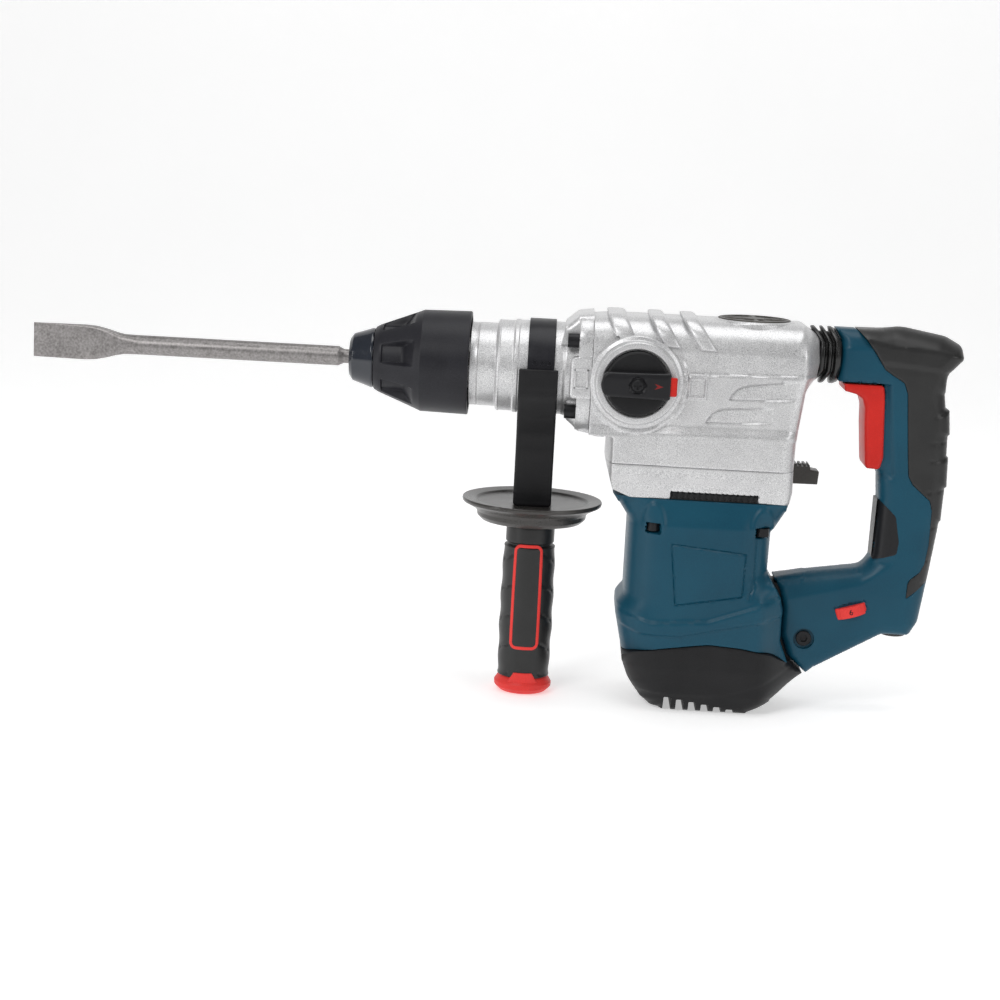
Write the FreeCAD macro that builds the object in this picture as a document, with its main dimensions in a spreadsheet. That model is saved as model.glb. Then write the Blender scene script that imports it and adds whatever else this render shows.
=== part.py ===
import FreeCAD, Part
import Sketcher
import math
import os

# Rotary hammer with a vertical motor, a crank-driven air-spring striker and an SDS-plus tool holder.
# Millimetres, +Z up.  The spindle lies on the X axis with the bit towards -X, and the origin is the
# centre of the collar that the side handle is clamped on.

V = FreeCAD.Vector
doc = FreeCAD.newDocument("rotary_hammer")

# ---------------------------------------------------------------- driving dimensions

MOTOR_X = 122.0
GEAR_MODULE = 1.25
PINION_TEETH = 9
CRANK_TEETH = 41
LAYSHAFT_TEETH = 43
BEVEL_TEETH = 12
RING_TEETH = 36
BEVEL_MODULE = 28.0 * 2 / RING_TEETH

SIZES = (
    ("collar_radius", 33.0, "collar that carries the side handle"),
    ("seat_radius", 26.0, "bores that hold the spindle bearings"),
    ("cylinder_radius", 18.0, "outside of the hammer cylinder"),
    ("cylinder_bore", 14.0, "bore of the hammer cylinder"),
    ("shank_radius", 5.0, "SDS-plus shank, 10 mm"),
    ("bit_radius", 7.0, "round shaft of the chisel"),
    ("running", 0.05, "radial clearance of a running fit"),
    ("motor_x", MOTOR_X, "axis of the motor"),
    ("crank_x", MOTOR_X + GEAR_MODULE * (PINION_TEETH + CRANK_TEETH) / 2, "axis of the crank"),
    ("layshaft_x", MOTOR_X - GEAR_MODULE * (PINION_TEETH + LAYSHAFT_TEETH) / 2, "intermediate shaft"),
    ("crank_throw", 13.0, "half of the piston stroke"),
    ("housing_half", 42.0, "half width of the gear housing"),
    ("housing_top", 42.0, "top of the gear housing"),
    ("parting_z", -60.5, "joint between gear housing and gearbox base"),
    ("motor_top", -84.0, "joint between gearbox base and motor housing"),
    ("cap_top", -199.5, "joint between motor housing and motor cap"),
    ("cap_bottom", -238.0, "foot of the motor cap"),
    ("motor_bore", 44.0, "bore of the motor housing"),
    ("screw_seat", -101.0, "heads of the screws that hold the motor housing"),
    ("screw_tip", -71.0, "tips of the screws that hold the motor housing"),
    ("cap_seat", -221.0, "heads of the screws that hold the motor cap"),
    ("shaft_radius", 6.0, "crankshaft and intermediate shaft"),
    ("armature_radius", 5.0, "armature shaft at its bearings"),
    ("gear_low", -56.0, "underside of the spur gears"),
    ("gear_high", -47.0, "top of the spur gears"),
    ("knob_x", 70.0, "axis of the mode knob"),
    ("knob_z", -2.5, "axis of the mode knob"),
    ("pivot_x", 202.0, "pivot bolt of the rear handle"),
    ("pivot_z", -184.0, "pivot bolt of the rear handle"),
    ("handle_half", 19.0, "half width of the rear handle"),
    ("core_half", 16.0, "half width of the handle under its soft grip"),
    ("grip_x", 1.25, "axis of the side handle"),
    ("inlet_x", 268.0, "axis of the cable inlet"),
    ("cable_bore", 3.7, "bore of the cable gland"),
)

sheet = doc.addObject("Spreadsheet::Sheet", "Sizes")
for row, (alias, value, note) in enumerate(SIZES, 1):
    sheet.set("A%d" % row, alias)
    sheet.set("B%d" % row, str(value))
    sheet.setAlias("B%d" % row, alias)
    sheet.set("C%d" % row, note)
doc.recompute()
SIZE = {alias: value for alias, value, note in SIZES}


# ---------------------------------------------------------------- shared tools
# A dimension is a number, the name of a cell, or (name of a cell, distance added to it).

def amount(dim):
    if isinstance(dim, str):
        return SIZE[dim]
    if isinstance(dim, tuple):
        return SIZE[dim[0]] + dim[1]
    return float(dim)


def formula(dim):
    if isinstance(dim, str):
        return "Sizes." + dim
    if isinstance(dim, tuple):
        return "Sizes.%s + (%r)" % dim
    return repr(float(dim))


def bind(item, prop, dim):
    """Sets one property of an object from the sheet."""
    item.setExpression(prop, formula(dim))


def unit(vector):
    """A vector of the same direction, one long."""
    return V(vector).normalize()


def draw(sketch, corners):
    """Draws one closed outline of (across, up) or (across, up, corner radius), fully dimensioned."""
    spots = [V(amount(corner[0]), amount(corner[1]), 0) for corner in corners]
    radii = [corner[2] if len(corner) > 2 else 0.0 for corner in corners]
    count = len(corners)
    arrive = []
    leave = []
    for i in range(count):
        back = unit(spots[i - 1] - spots[i])
        ahead = unit(spots[(i + 1) % count] - spots[i])
        reach = 0.0
        if radii[i]:
            reach = radii[i] / math.tan(back.getAngle(ahead) / 2)
        arrive.append(spots[i] + back * reach)
        leave.append(spots[i] + ahead * reach)
    lines = []
    for i in range(count):
        edge = Part.LineSegment(leave[i], arrive[(i + 1) % count])
        lines.append(sketch.addGeometry(edge, False))
    rules = []
    named = []
    for i in range(count):
        before = lines[i - 1]
        after = lines[i]
        if radii[i]:
            back = unit(spots[i - 1] - spots[i])
            ahead = unit(spots[(i + 1) % count] - spots[i])
            turn = back.getAngle(ahead)
            middle = spots[i] + unit(back + ahead) * (radii[i] / math.sin(turn / 2))
            start = math.atan2(arrive[i].y - middle.y, arrive[i].x - middle.x)
            end = math.atan2(leave[i].y - middle.y, leave[i].x - middle.x)
            left_turn = back.cross(ahead).z < 0
            circle = Part.Circle(middle, V(0, 0, 1), radii[i])
            if left_turn:
                arc = sketch.addGeometry(Part.ArcOfCircle(circle, start, end), False)
            else:
                arc = sketch.addGeometry(Part.ArcOfCircle(circle, end, start), False)
            near, far = (1, 2) if left_turn else (2, 1)
            rules.append(Sketcher.Constraint("Tangent", before, 2, arc, near))
            rules.append(Sketcher.Constraint("Tangent", arc, far, after, 1))
            rules.append(Sketcher.Constraint("Radius", arc, radii[i]))
            spot = sketch.addGeometry(Part.Point(spots[i]), True)
            rules.append(Sketcher.Constraint("PointOnObject", spot, 1, before))
            rules.append(Sketcher.Constraint("PointOnObject", spot, 1, after))
        else:
            rules.append(Sketcher.Constraint("Coincident", before, 2, after, 1))
            spot = after
        named.append((spot, corners[i]))
    sketch.addConstraint(rules)
    for spot, corner in named:
        across = sketch.addConstraint(Sketcher.Constraint("DistanceX", -1, 1, spot, 1, amount(corner[0])))
        up = sketch.addConstraint(Sketcher.Constraint("DistanceY", -1, 1, spot, 1, amount(corner[1])))
        if not isinstance(corner[0], (int, float)):
            bind(sketch, "Constraints[%d]" % across, corner[0])
        if not isinstance(corner[1], (int, float)):
            bind(sketch, "Constraints[%d]" % up, corner[1])


def origin_plane(body, role):
    return [item for item in body.Origin.OriginFeatures if item.Role == role][0]


def prism(name, plane, corners, low, high, holes=()):
    """A body with one Pad: an outline on the XY, XZ or YZ plane, from low to high across it."""
    body = doc.addObject("PartDesign::Body", name)
    sketch = body.newObject("Sketcher::SketchObject", name + "_outline")
    sketch.AttachmentSupport = (origin_plane(body, plane + "_Plane"), [""])
    sketch.MapMode = "FlatFace"
    draw(sketch, corners)
    for hole in holes:
        draw(sketch, hole)
    if plane == "XZ":
        sketch.setExpression("AttachmentOffset.Base.z", "-(%s)" % formula(high))
    else:
        bind(sketch, "AttachmentOffset.Base.z", low)
    pad = body.newObject("PartDesign::Pad", name + "_pad")
    pad.Profile = sketch
    pad.setExpression("Length", "(%s) - (%s)" % (formula(high), formula(low)))
    return body


def turning(name, axis, corners, at=(0, 0, 0)):
    """A body with one Revolution.  Corners are (x, r) about X, (r, y) about Y and (r, z) about Z."""
    body = doc.addObject("PartDesign::Body", name)
    sketch = body.newObject("Sketcher::SketchObject", name + "_profile")
    plane = "XY_Plane" if axis == "Y" else "XZ_Plane"
    sketch.AttachmentSupport = (origin_plane(body, plane), [""])
    sketch.MapMode = "FlatFace"
    draw(sketch, corners)
    spin = body.newObject("PartDesign::Revolution", name + "_spin")
    spin.Profile = sketch
    spin.ReferenceAxis = (sketch, ["H_Axis" if axis == "X" else "V_Axis"])
    spin.Angle = 360
    move(body, at)
    return body


def move(item, at):
    for letter, dim in zip("xyz", at):
        bind(item, "Placement.Base." + letter, dim)


TURN_TO = {"X": FreeCAD.Rotation(V(0, 1, 0), 90), "Y": FreeCAD.Rotation(V(1, 0, 0), -90),
           "Z": FreeCAD.Rotation()}


def rod(name, axis, radius, low, high, at=(0, 0, 0)):
    """A cylinder from low to high along an axis; at gives the axis' place."""
    item = doc.addObject("Part::Cylinder", name)
    bind(item, "Radius", radius)
    item.setExpression("Height", "(%s) - (%s)" % (formula(high), formula(low)))
    item.Placement = FreeCAD.Placement(V(0, 0, 0), TURN_TO[axis])
    place = list(at)
    place["XYZ".index(axis)] = low
    move(item, place)
    return item


def block(name, low, high):
    """A box between two corners."""
    item = doc.addObject("Part::Box", name)
    for side, a, b in zip(("Length", "Width", "Height"), low, high):
        item.setExpression(side, "(%s) - (%s)" % (formula(b), formula(a)))
    move(item, low)
    return item


def fuse(name, items):
    item = doc.addObject("Part::MultiFuse", name)
    item.Shapes = items
    return item


def common(name, items):
    item = doc.addObject("Part::MultiCommon", name)
    item.Shapes = items
    return item


def cut(name, base, tools):
    item = doc.addObject("Part::Cut", name)
    item.Base = base
    if len(tools) == 1:
        item.Tool = tools[0]
    else:
        item.Tool = fuse(name + "_tools", tools)
    return item


def ring(name, axis, inner, outer, low, high, at=(0, 0, 0)):
    """A plain tube."""
    corners = [(inner, low), (outer, low), (outer, high), (inner, high)]
    if axis == "X":
        corners = [(up, across) for across, up in corners]
    return turning(name, axis, corners, at)


NODES = []


def node(label, item):
    """Marks a finished sub-part; its label is the node's name."""
    item.Label = label
    NODES.append(item)


# ---------------------------------------------------------------- front barrel and its bolts

BOLT_SPOTS = [(34, 23.5), (-34, 23.5), (30, -27), (-30, -27)]


def front_barrel():
    tube = turning("barrel_tube", "X", [
        (-48, 20), (-48, 29.8), (-29, 29.8), (-28, 32.5), (-17, 32.5), (-16, 33.5), (-14, 33.5),
        (-13.5, "collar_radius"), (18, "collar_radius"), (29, 34), (38.5, 34), (38.5, 20)])
    flange = prism("barrel_flange", "YZ", [
        (-40, -42, 22), (40, -42, 22), (40, 42, 22), (-40, 42, 22)], 28.5, 38.5)
    hump = prism("barrel_hump", "XZ", [(19, 30), (22, 36), (28.5, 40.5), (38.5, 42), (38.5, 30)], -16, 16)
    tools = [rod("barrel_bore", "X", 24, -60, 60), rod("barrel_seat", "X", "seat_radius", -60, -29)]
    for i, (y, z) in enumerate(BOLT_SPOTS):
        tools.append(rod("barrel_bolt_hole%d" % i, "X", 3.3, 20, 60, (0, y, z)))
    node("front_barrel", cut("front_barrel", fuse("barrel_solid", [tube, flange, hump]), tools))
    screws = []
    for i, (y, z) in enumerate(BOLT_SPOTS):
        head = rod("barrel_head%d" % i, "X", 5, 20.5, 28.5, (0, y, z))
        socket = rod("barrel_socket%d" % i, "X", 2.6, 20, 24.5, (0, y, z))
        shank = rod("barrel_shank%d" % i, "X", 3, 28.5, 51, (0, y, z))
        screws += [cut("barrel_cap%d" % i, head, [socket]), shank]
    node("barrel_bolts", fuse("barrel_bolts", screws))
    node("nose_seal", ring("nose_seal", "X", 18.3, "seat_radius", -47, -41))
    front = ring("spindle_bearing_front", "X", ("cylinder_radius", 0.05), "seat_radius", -40, -30)
    rear = ring("spindle_bearing_rear", "X", ("cylinder_radius", 0.05), "seat_radius", 42, 52)
    node("spindle_bearings", fuse("spindle_bearings", [front, rear]))


# ---------------------------------------------------------------- gear housing

def gear_housing():
    side = prism("housing_side", "XZ", [
        (38.5, 40), (60, "housing_top"), (186, "housing_top", 4), (198, 34, 6), (199.5, 20), (197, 6, 4),
        (189, -1, 10), (184.5, -40), (184, "parting_z"), (51.5, "parting_z"), (52, -43, 3), (38.5, -42)],
        -60, 60)
    front = prism("housing_front", "YZ", [
        (-42, -70), (42, -70), ("housing_half", 43, 23), (-42, 43, 23)], 0, 220)
    top = prism("housing_plan", "XY", [
        (38.5, -42), (188, -42, 16), (199.5, -26, 6), (199.5, 26, 6), (188, 42, 16), (38.5, 42)], -80, 60)
    boss = rod("knob_boss", "Y", 30, -50, -38, ("knob_x", 0, "knob_z"))
    solid = fuse("housing_solid", [common("housing_body", [side, front, top]), boss])
    tools = [
        block("upper_chamber", (54, -34, -30), (182, 34, 34)),
        block("gear_chamber", (60, -37, -80), (180, 37, -42)),
        prism("skirt_near", "XY", [(44, -60), (57.5, -60), (57.5, -42.5), (51.4, -24), (44, -24)], -80, -43),
        prism("skirt_far", "XY", [(44, 60), (57.5, 60), (57.5, 42.5), (51.4, 24), (44, 24)], -80, -43),
        rod("bearing_bore_front", "X", "seat_radius", 30, 60),
        rod("crank_seat", "Z", 14, -50, -20, ("crank_x", 0, 0)),
        rod("layshaft_seat", "Z", 14, -50, -20, ("layshaft_x", 0, 0)),
        rod("filler_hole", "Z", 20, 30, 60, (152, 0, 0)),
        rod("knob_recess", "Y", 23.3, -60, -44, ("knob_x", 0, "knob_z")),
        rod("knob_bore", "Y", 4.05, -60, -30, ("knob_x", 0, "knob_z"))]
    for i, (y, z) in enumerate(BOLT_SPOTS):
        tools.append(rod("housing_bolt_hole%d" % i, "X", 3, 30, 51, (0, y, z)))
    node("gear_housing", cut("gear_housing", solid, tools))
    cap = turning("oil_cap_body", "Z", [
        (0, 37), (20, 37), (20, 42), (26, 42), (26, 43.2), (25.2, 44), (0, 44)], (152, 0, 0))
    slots = [block("oil_slot%d" % i, (x - 3, -12, 42.6), (x + 3, 12, 50)) for i, x in enumerate((139, 165))]
    node("oil_cap", cut("oil_cap", cap, slots))


def gearbox_base():
    side = prism("base_side", "XZ", [
        (51.5, "parting_z"), (184, "parting_z"), (184.5, -76), (183, "motor_top", 2), (70, "motor_top", 3),
        (57.5, -79)], -60, 60)
    plan = prism("base_plan", "XY", [
        (57.5, -42), (186, -42, 14), (186, 42, 14), (57.5, 42), (51.4, 24, 20), (51.4, -24, 20)], -100, -50)
    tools = [
        rod("base_crank_seat", "Z", 14, -73.5, -50, ("crank_x", 0, 0)),
        rod("base_layshaft_seat", "Z", 14, -73.5, -50, ("layshaft_x", 0, 0)),
        rod("base_armature_seat", "Z", 13, -100, -76, ("motor_x", 0, 0)),
        rod("base_armature_hole", "Z", 9, -100, -50, ("motor_x", 0, 0)),
        rod("base_lever_bore", "X", 3.06, 171, 200, (0, 0, -70))]
    for hand in (-1, 1):
        low, high = sorted((hand * 34, hand * 50))
        tools.append(block("vent_pocket%d" % (hand + 1), (99, low, -100), (162, high, ("motor_top", 5.5))))
        for x in (88, 165.5):
            tools.append(rod("base_screw_hole", "Z", 2.5, -100, "screw_tip", (x, hand * 38, 0)))
    node("gearbox_base", cut("gearbox_base", common("base_body", [side, plan]), tools))
    windows = []
    for i in range(7):
        left = 101.5 + 8.6 * i
        low, high = ("motor_top", 1), ("motor_top", 4.5)
        windows.append([(left, low), (left + 6.4, low), (left + 6.4, high), (left, high)])
    frame = [(99, "motor_top"), (162, "motor_top"), (162, ("motor_top", 5.5)), (99, ("motor_top", 5.5))]
    near = prism("vent_grille_near", "XZ", frame, -40, -37, windows)
    far = prism("vent_grille_far", "XZ", frame, 37, 40, windows)
    node("vent_grille", fuse("vent_grille", [near, far]))


# ---------------------------------------------------------------- motor housing, cap and motor

SCREW_SPOTS = [(x, y) for x in (88, 165.5) for y in (-38, 38)]
CAP_SCREW_SPOTS = [(x, y) for x in (86, 158) for y in (-34, 34)]


def motor_housing():
    side = prism("motor_side", "XZ", [
        (58.5, "motor_top"), (183, "motor_top"), (181, -91), (172.3, -105, 6), (172, -122), (172, -140),
        (179.5, -151, 6), (182, -159, 6), (182.5, -183), (190, "cap_top"), (71, "cap_top"),
        (65, -168, 4), (70.5, -156), (70.5, -104, 8)], -60, 60)
    front = prism("motor_front", "YZ", [
        (-42, -76), (42, -76), (48, -101, 10), (48, -165, 30), (47, -210), (-47, -210), (-48, -165, 30),
        (-48, -106, 10)], 40, 220)
    plan = prism("motor_plan", "XY", [(58, -48, 34), (187, -48, 30), (187, 48, 30), (58, 48, 34)], -220, -75)
    shell = common("motor_body", [side, front, plan])
    lug = prism("pivot_lug", "XZ", [
        (176, -196), (206, -196, 8), (211, -184, 6), (206, -173, 8), (176, -173)], -11, 11)
    tools = [
        rod("motor_bore_tool", "Z", "motor_bore", -220, -75, ("motor_x", 0, 0)),
        rod("pivot_hole", "Y", 4.06, -20, 20, ("pivot_x", 0, "pivot_z"))]
    for i, (x, y) in enumerate(SCREW_SPOTS):
        low, high = sorted((y * 0.88, y * 1.4))
        tools.append(block("screw_window%d" % i, (x - 5.5, low, ("screw_seat", -9)), (x + 5.5, high, "screw_seat")))
        tools.append(rod("housing_screw_hole%d" % i, "Z", 2.5, ("screw_seat", -1), -75, (x, y, 0)))
    for i, (x, y) in enumerate(CAP_SCREW_SPOTS):
        tools.append(rod("cap_screw_thread%d" % i, "Z", 2.5, -220, -180, (x, y, 0)))
    node("motor_housing", cut("motor_housing", fuse("motor_solid", [shell, lug]), tools))


def motor_screw(name, x, y, seat, tip):
    """A pan-head screw that points up."""
    head = rod(name + "_head", "Z", 4.2, (seat, -4.5), seat, (x, y, 0))
    socket = rod(name + "_socket", "Z", 2.1, (seat, -5), (seat, -2), (x, y, 0))
    shank = rod(name + "_shank", "Z", 2.5, seat, tip, (x, y, 0))
    return [cut(name + "_top", head, [socket]), shank]


def motor_cap():
    side = prism("cap_side", "XZ", [
        (71, "cap_top"), (190, "cap_top"), (204, -211.5), (180, -229), (167, "cap_bottom", 4),
        (96, "cap_bottom", 6), (84, -229), (76, -217), (72, -206)], -60, 60)
    front = prism("cap_front", "YZ", [
        (-47, -190), (47, -190), (46, -222, 16), (36, -245), (-36, -245), (-46, -222, 16)], 40, 220)
    plan = prism("cap_plan", "XY", [
        (60, -48, 34), (180, -48, 30), (205, -20, 6), (205, 20, 6), (180, 48, 30), (60, 48, 34)], -250, -190)
    shell = common("cap_body", [side, front, plan])
    hollow = rod("cap_hollow", "Z", 40, -228, -190, ("motor_x", 0, 0))
    seat = ring("cap_bearing_seat", "Z", 13, 17, -229, -212, ("motor_x", 0, 0))
    slots = []
    for i in range(6):
        left = 103 + 9 * i
        slots.append(block("comb_slot%d" % i, (left, -60, -245), (left + 5.5, 60, -227 - 1.5 * i)))
    recesses = []
    for i, (x, y) in enumerate(CAP_SCREW_SPOTS):
        recesses.append(rod("cap_recess%d" % i, "Z", 4.6, -250, "cap_seat", (x, y, 0)))
        recesses.append(rod("cap_screw_hole%d" % i, "Z", 2.5, -230, -190, (x, y, 0)))
    lid = cut("cap_lid", shell, [hollow] + slots + recesses)
    node("motor_cap", fuse("motor_cap", [lid, seat]))
    screws = []
    for i, (x, y) in enumerate(SCREW_SPOTS):
        screws += motor_screw("housing_screw%d" % i, x, y, "screw_seat", "screw_tip")
    for i, (x, y) in enumerate(CAP_SCREW_SPOTS):
        screws += motor_screw("cap_screw%d" % i, x, y, "cap_seat", -180)
    node("motor_screws", fuse("motor_screws", screws))


FAN_BLADES = 11


def motor():
    centre = ("motor_x", 0, 0)
    node("stator_core", ring("stator_core", "Z", 24.6, ("motor_bore", -0.1), -160, -112, centre))
    lower = ring("field_coil_lower", "Z", 27, 40, -169, -160, centre)
    upper = ring("field_coil_upper", "Z", 27, 40, -112, -104.5, centre)
    node("field_coils", fuse("field_coils", [lower, upper]))
    holders = []
    brushes = []
    for hand in (-1, 1):
        low, high = sorted((hand * 16, hand * 38))
        case = block("brush_case%d" % (hand + 1), (116, low, -192), (128, high, -176))
        slot = block("brush_slot%d" % (hand + 1), (118.9, low - 5, -189.1), (125.1, high + 5, -178.9))
        holders.append(cut("brush_holder%d" % (hand + 1), case, [slot]))
        low, high = sorted((hand * 14.2, hand * 30))
        brushes.append(block("brush%d" % (hand + 1), (119, low, -189), (125, high, -179)))
    node("brush_holders", fuse("brush_holders", holders))
    node("carbon_brushes", fuse("carbon_brushes", brushes))
    bearings = []
    for i, low in enumerate((-84, -222)):
        bearings.append(ring("armature_bearing%d" % i, "Z", ("armature_radius", 0.05), 13, low, low + 8,
                             centre))
    node("armature_bearings", fuse("armature_bearings", bearings))
    node("armature_core", ring("armature_core", "Z", "armature_radius", 24, -160, -112, centre))
    node("commutator", ring("commutator", "Z", "armature_radius", 14, -193, -175, centre))
    hub = turning("fan_hub", "Z", [
        ("armature_radius", -103.5), (38, -103.5), (38, -101.5), (11, -101.5), (9, -92),
        ("armature_radius", -92)], centre)
    blades = []
    for i in range(FAN_BLADES):
        blade = prism("fan_blade%d" % i, "XZ", [(10, -102), (37, -102), (37, -93), (10, -93)], -0.8, 0.8)
        turn = FreeCAD.Rotation(V(0, 0, 1), 360.0 * i / FAN_BLADES)
        blade.Placement = FreeCAD.Placement(V(MOTOR_X, 0, 0), turn)
        blades.append(blade)
    node("cooling_fan", fuse("cooling_fan", [hub] + blades))


# ---------------------------------------------------------------- gears

PRESSURE = math.radians(25)


def involute(angle):
    return math.tan(angle) - angle


def half_tooth_angle(pitch_radius, teeth, radius, backlash):
    """Half of a tooth's angle at a radius, for an involute tooth thinned by the backlash."""
    base = pitch_radius * math.cos(PRESSURE)
    at_pitch = (math.pi * pitch_radius / teeth - backlash) / (2 * pitch_radius)
    here = math.acos(min(1.0, base / max(radius, base)))
    return at_pitch + involute(PRESSURE) - involute(here)


def spur_shape(module, teeth, bore, low, high, centre_x, backlash=0.16):
    """A spur gear with stub teeth, with one tooth on +X."""
    pitch = module * teeth / 2
    base = pitch * math.cos(PRESSURE)
    root = pitch - 1.05 * module
    tip = pitch + 0.8 * module
    start = max(base, root)
    steps = [start + (tip - start) * k / 3.0 for k in range(4)]
    spots = []
    for tooth in range(teeth):
        middle = 2 * math.pi * tooth / teeth
        flank = [(radius, half_tooth_angle(pitch, teeth, radius, backlash)) for radius in steps]
        rising = [(root, flank[0][1])] + flank if root < start - 0.01 else flank
        for radius, half in rising:
            spots.append((radius, middle - half))
        for radius, half in reversed(rising):
            spots.append((radius, middle + half))
    points = [V(r * math.cos(a), r * math.sin(a), low) for r, a in spots]
    face = Part.Face(Part.makePolygon(points + points[:1]))
    gear = face.extrude(V(0, 0, high - low))
    if bore:
        gear = gear.cut(Part.makeCylinder(bore, high - low + 2, V(0, 0, low - 1)))
    gear.translate(V(centre_x, 0, 0))
    return gear


def bevel_teeth(teeth, other_teeth, phase, backlash=0.22):
    """Straight bevel teeth with their apex at the origin and the gear below it on -Z."""
    pitch = BEVEL_MODULE * teeth / 2
    cone = math.atan2(teeth, other_teeth)
    reach = pitch / math.sin(cone)
    virtual = pitch / math.cos(cone)
    virtual_teeth = teeth / math.cos(cone)
    scale = (reach - 7.0) / reach
    sink = virtual - 1.35 * BEVEL_MODULE
    foot = virtual - 0.95 * BEVEL_MODULE
    tip = virtual + 0.75 * BEVEL_MODULE
    steps = [max(foot, virtual * math.cos(PRESSURE)), virtual, tip]

    def place(distance, angle):
        wrapped = angle / math.cos(cone)
        radius = distance * math.cos(cone)
        depth = reach / math.cos(cone) - distance * math.sin(cone)
        return V(radius * math.cos(wrapped), radius * math.sin(wrapped), -depth)

    solids = []
    for tooth in range(teeth):
        flank = [(s, half_tooth_angle(virtual, virtual_teeth, s, backlash)) for s in steps]
        flank = [(sink, flank[0][1])] + flank
        loop = [place(s, -half) for s, half in flank] + [place(s, half) for s, half in reversed(flank)]
        turn = FreeCAD.Rotation(V(0, 0, 1), math.degrees(2 * math.pi * tooth / teeth) + phase)
        outer = [turn.multVec(spot) for spot in loop]
        inner = [spot * scale for spot in outer]
        faces = []
        last = len(outer)
        for i in range(last):
            j = (i + 1) % last
            faces.append([outer[i], outer[j], inner[j], inner[i]])
        for side in (outer, inner):
            for i in range(last // 2 - 1):
                pair = [side[i], side[i + 1], side[last - 2 - i], side[last - 1 - i]]
                faces.append(pair[:3])
                faces.append([pair[0], pair[2], pair[3]])
        shell = []
        for corners in faces:
            shell.append(Part.Face(Part.makePolygon(corners + corners[:1])))
        solids.append(Part.Solid(Part.Shell(shell)))
    return solids


def shaped(name, shape):
    """A piece that no feature fits: its shape is worked out from the sheet."""
    item = doc.addObject("Part::Feature", name)
    item.Shape = shape
    return item


def gear_train():
    low = SIZE["gear_low"]
    high = SIZE["gear_high"]
    bore = SIZE["shaft_radius"]
    crank = spur_shape(GEAR_MODULE, CRANK_TEETH, bore, low, high, SIZE["crank_x"])
    node("crank_gear", shaped("crank_gear", crank))
    layshaft = spur_shape(GEAR_MODULE, LAYSHAFT_TEETH, bore, low, high, SIZE["layshaft_x"])
    node("intermediate_gear", shaped("intermediate_gear", layshaft))
    pinion = shaped("armature_pinion", spur_shape(
        GEAR_MODULE, PINION_TEETH, 0, low - 1, high + 1, SIZE["motor_x"]))
    stem = turning("armature_stem", "Z", [
        (0, -222), ("armature_radius", -222), ("armature_radius", -62), (4, -60), (4, -46), (0, -46)],
        ("motor_x", 0, 0))
    node("armature_shaft", fuse("armature_shaft", [stem, pinion]))
    node("intermediate_shaft", rod("intermediate_shaft", "Z", "shaft_radius", -73, -30,
                                   ("layshaft_x", 0, 0)))
    apex = V(SIZE["layshaft_x"], 0, 0)
    teeth = bevel_teeth(BEVEL_TEETH, RING_TEETH, 0)
    for tooth in teeth:
        tooth.translate(apex)
    core = turning("bevel_core", "Z", [
        (0, -30), (8.2, -30), (7.85, -28.6), (5.99, -21.85), (0, -21.85)], ("layshaft_x", 0, 0))
    node("bevel_pinion", fuse("bevel_pinion", [core, shaped("bevel_pinion_teeth",
                                                            Part.makeCompound(teeth))]))
    teeth = bevel_teeth(RING_TEETH, BEVEL_TEETH, 180.0 / RING_TEETH)
    for tooth in teeth:
        tooth.rotate(V(0, 0, 0), V(0, 1, 0), 90)
        tooth.translate(apex)
    crown = turning("ring_core", "X", [
        (58, "cylinder_radius"), (58, 24), (70, 28.6), (78.2, 28.2), (78.72, 27.5), (81.28, 20.9),
        (81.28, "cylinder_radius")])
    node("ring_gear", fuse("ring_gear", [crown, shaped("ring_teeth", Part.makeCompound(teeth))]))
    bearings = []
    for i, x in enumerate(("crank_x", "layshaft_x")):
        for j, z in enumerate((-73.5, -41)):
            bearings.append(ring("shaft_bearing%d%d" % (i, j), "Z", ("shaft_radius", 0.05), 14, z, z + 8,
                                 (x, 0, 0)))
    node("shaft_bearings", fuse("shaft_bearings", bearings))


# ---------------------------------------------------------------- crank drive and striker

def crank_drive():
    node("crankshaft", turning("crankshaft", "Z", [
        (0, -73), ("shaft_radius", -73), ("shaft_radius", -30), (9, -28), (9, -24), (22, -24), (22, -10),
        (18.5, -10), (18.5, -20), (0, -20)], ("crank_x", 0, 0)))
    pin_x = ("crank_x", SIZE["crank_throw"])
    node("crank_pin", rod("crank_pin", "Z", 5, -19.5, 6, (pin_x, 0, 0)))
    shank = block("rod_shank", (92, -4.5, -4.5), (pin_x, 4.5, 4.5))
    big = rod("rod_big_end", "Z", 10.5, -5, 5, (pin_x, 0, 0))
    small = rod("rod_small_end", "Y", 7.5, -5, 5, (92, 0, 0))
    eyes = [rod("rod_big_eye", "Z", 5, -8, 8, (pin_x, 0, 0)), rod("rod_small_eye", "Y", 4, -8, 8, (92, 0, 0))]
    node("connecting_rod", cut("connecting_rod", fuse("rod_solid", [shank, big, small]), eyes))
    node("wrist_pin", rod("wrist_pin", "Y", 4, -13.2, 13.2, (92, 0, 0)))
    body = turning("piston_body", "X", [
        (72, 0), (72, ("cylinder_bore", -0.05)), (104, ("cylinder_bore", -0.05)), (104, 10.5), (80, 10.5),
        (80, 0)])
    node("piston", cut("piston", body, [rod("piston_eye", "Y", 4, -20, 20, (92, 0, 0))]))
    node("hammer_cylinder", ring("hammer_cylinder", "X", "cylinder_bore", "cylinder_radius", -45, 118))
    node("striker", turning("striker", "X", [
        (-51, 0), (-51, 8), (-50, 9), (-35, 9), (-33, ("cylinder_bore", -0.05)),
        (-5, ("cylinder_bore", -0.05)), (-5, 0)]))
    node("impact_bolt", turning("impact_bolt", "X", [
        (-83.5, 0), (-83.5, 4.5), (-82.5, 4.95), (-67.4, 4.95), (-66, 10.95), (-53, 10.95), (-51.5, 8),
        (-51.5, 0)]))


# ---------------------------------------------------------------- tool holder, sleeve and bit

BALL_X = -100
BALL_Y = 7.4


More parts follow.
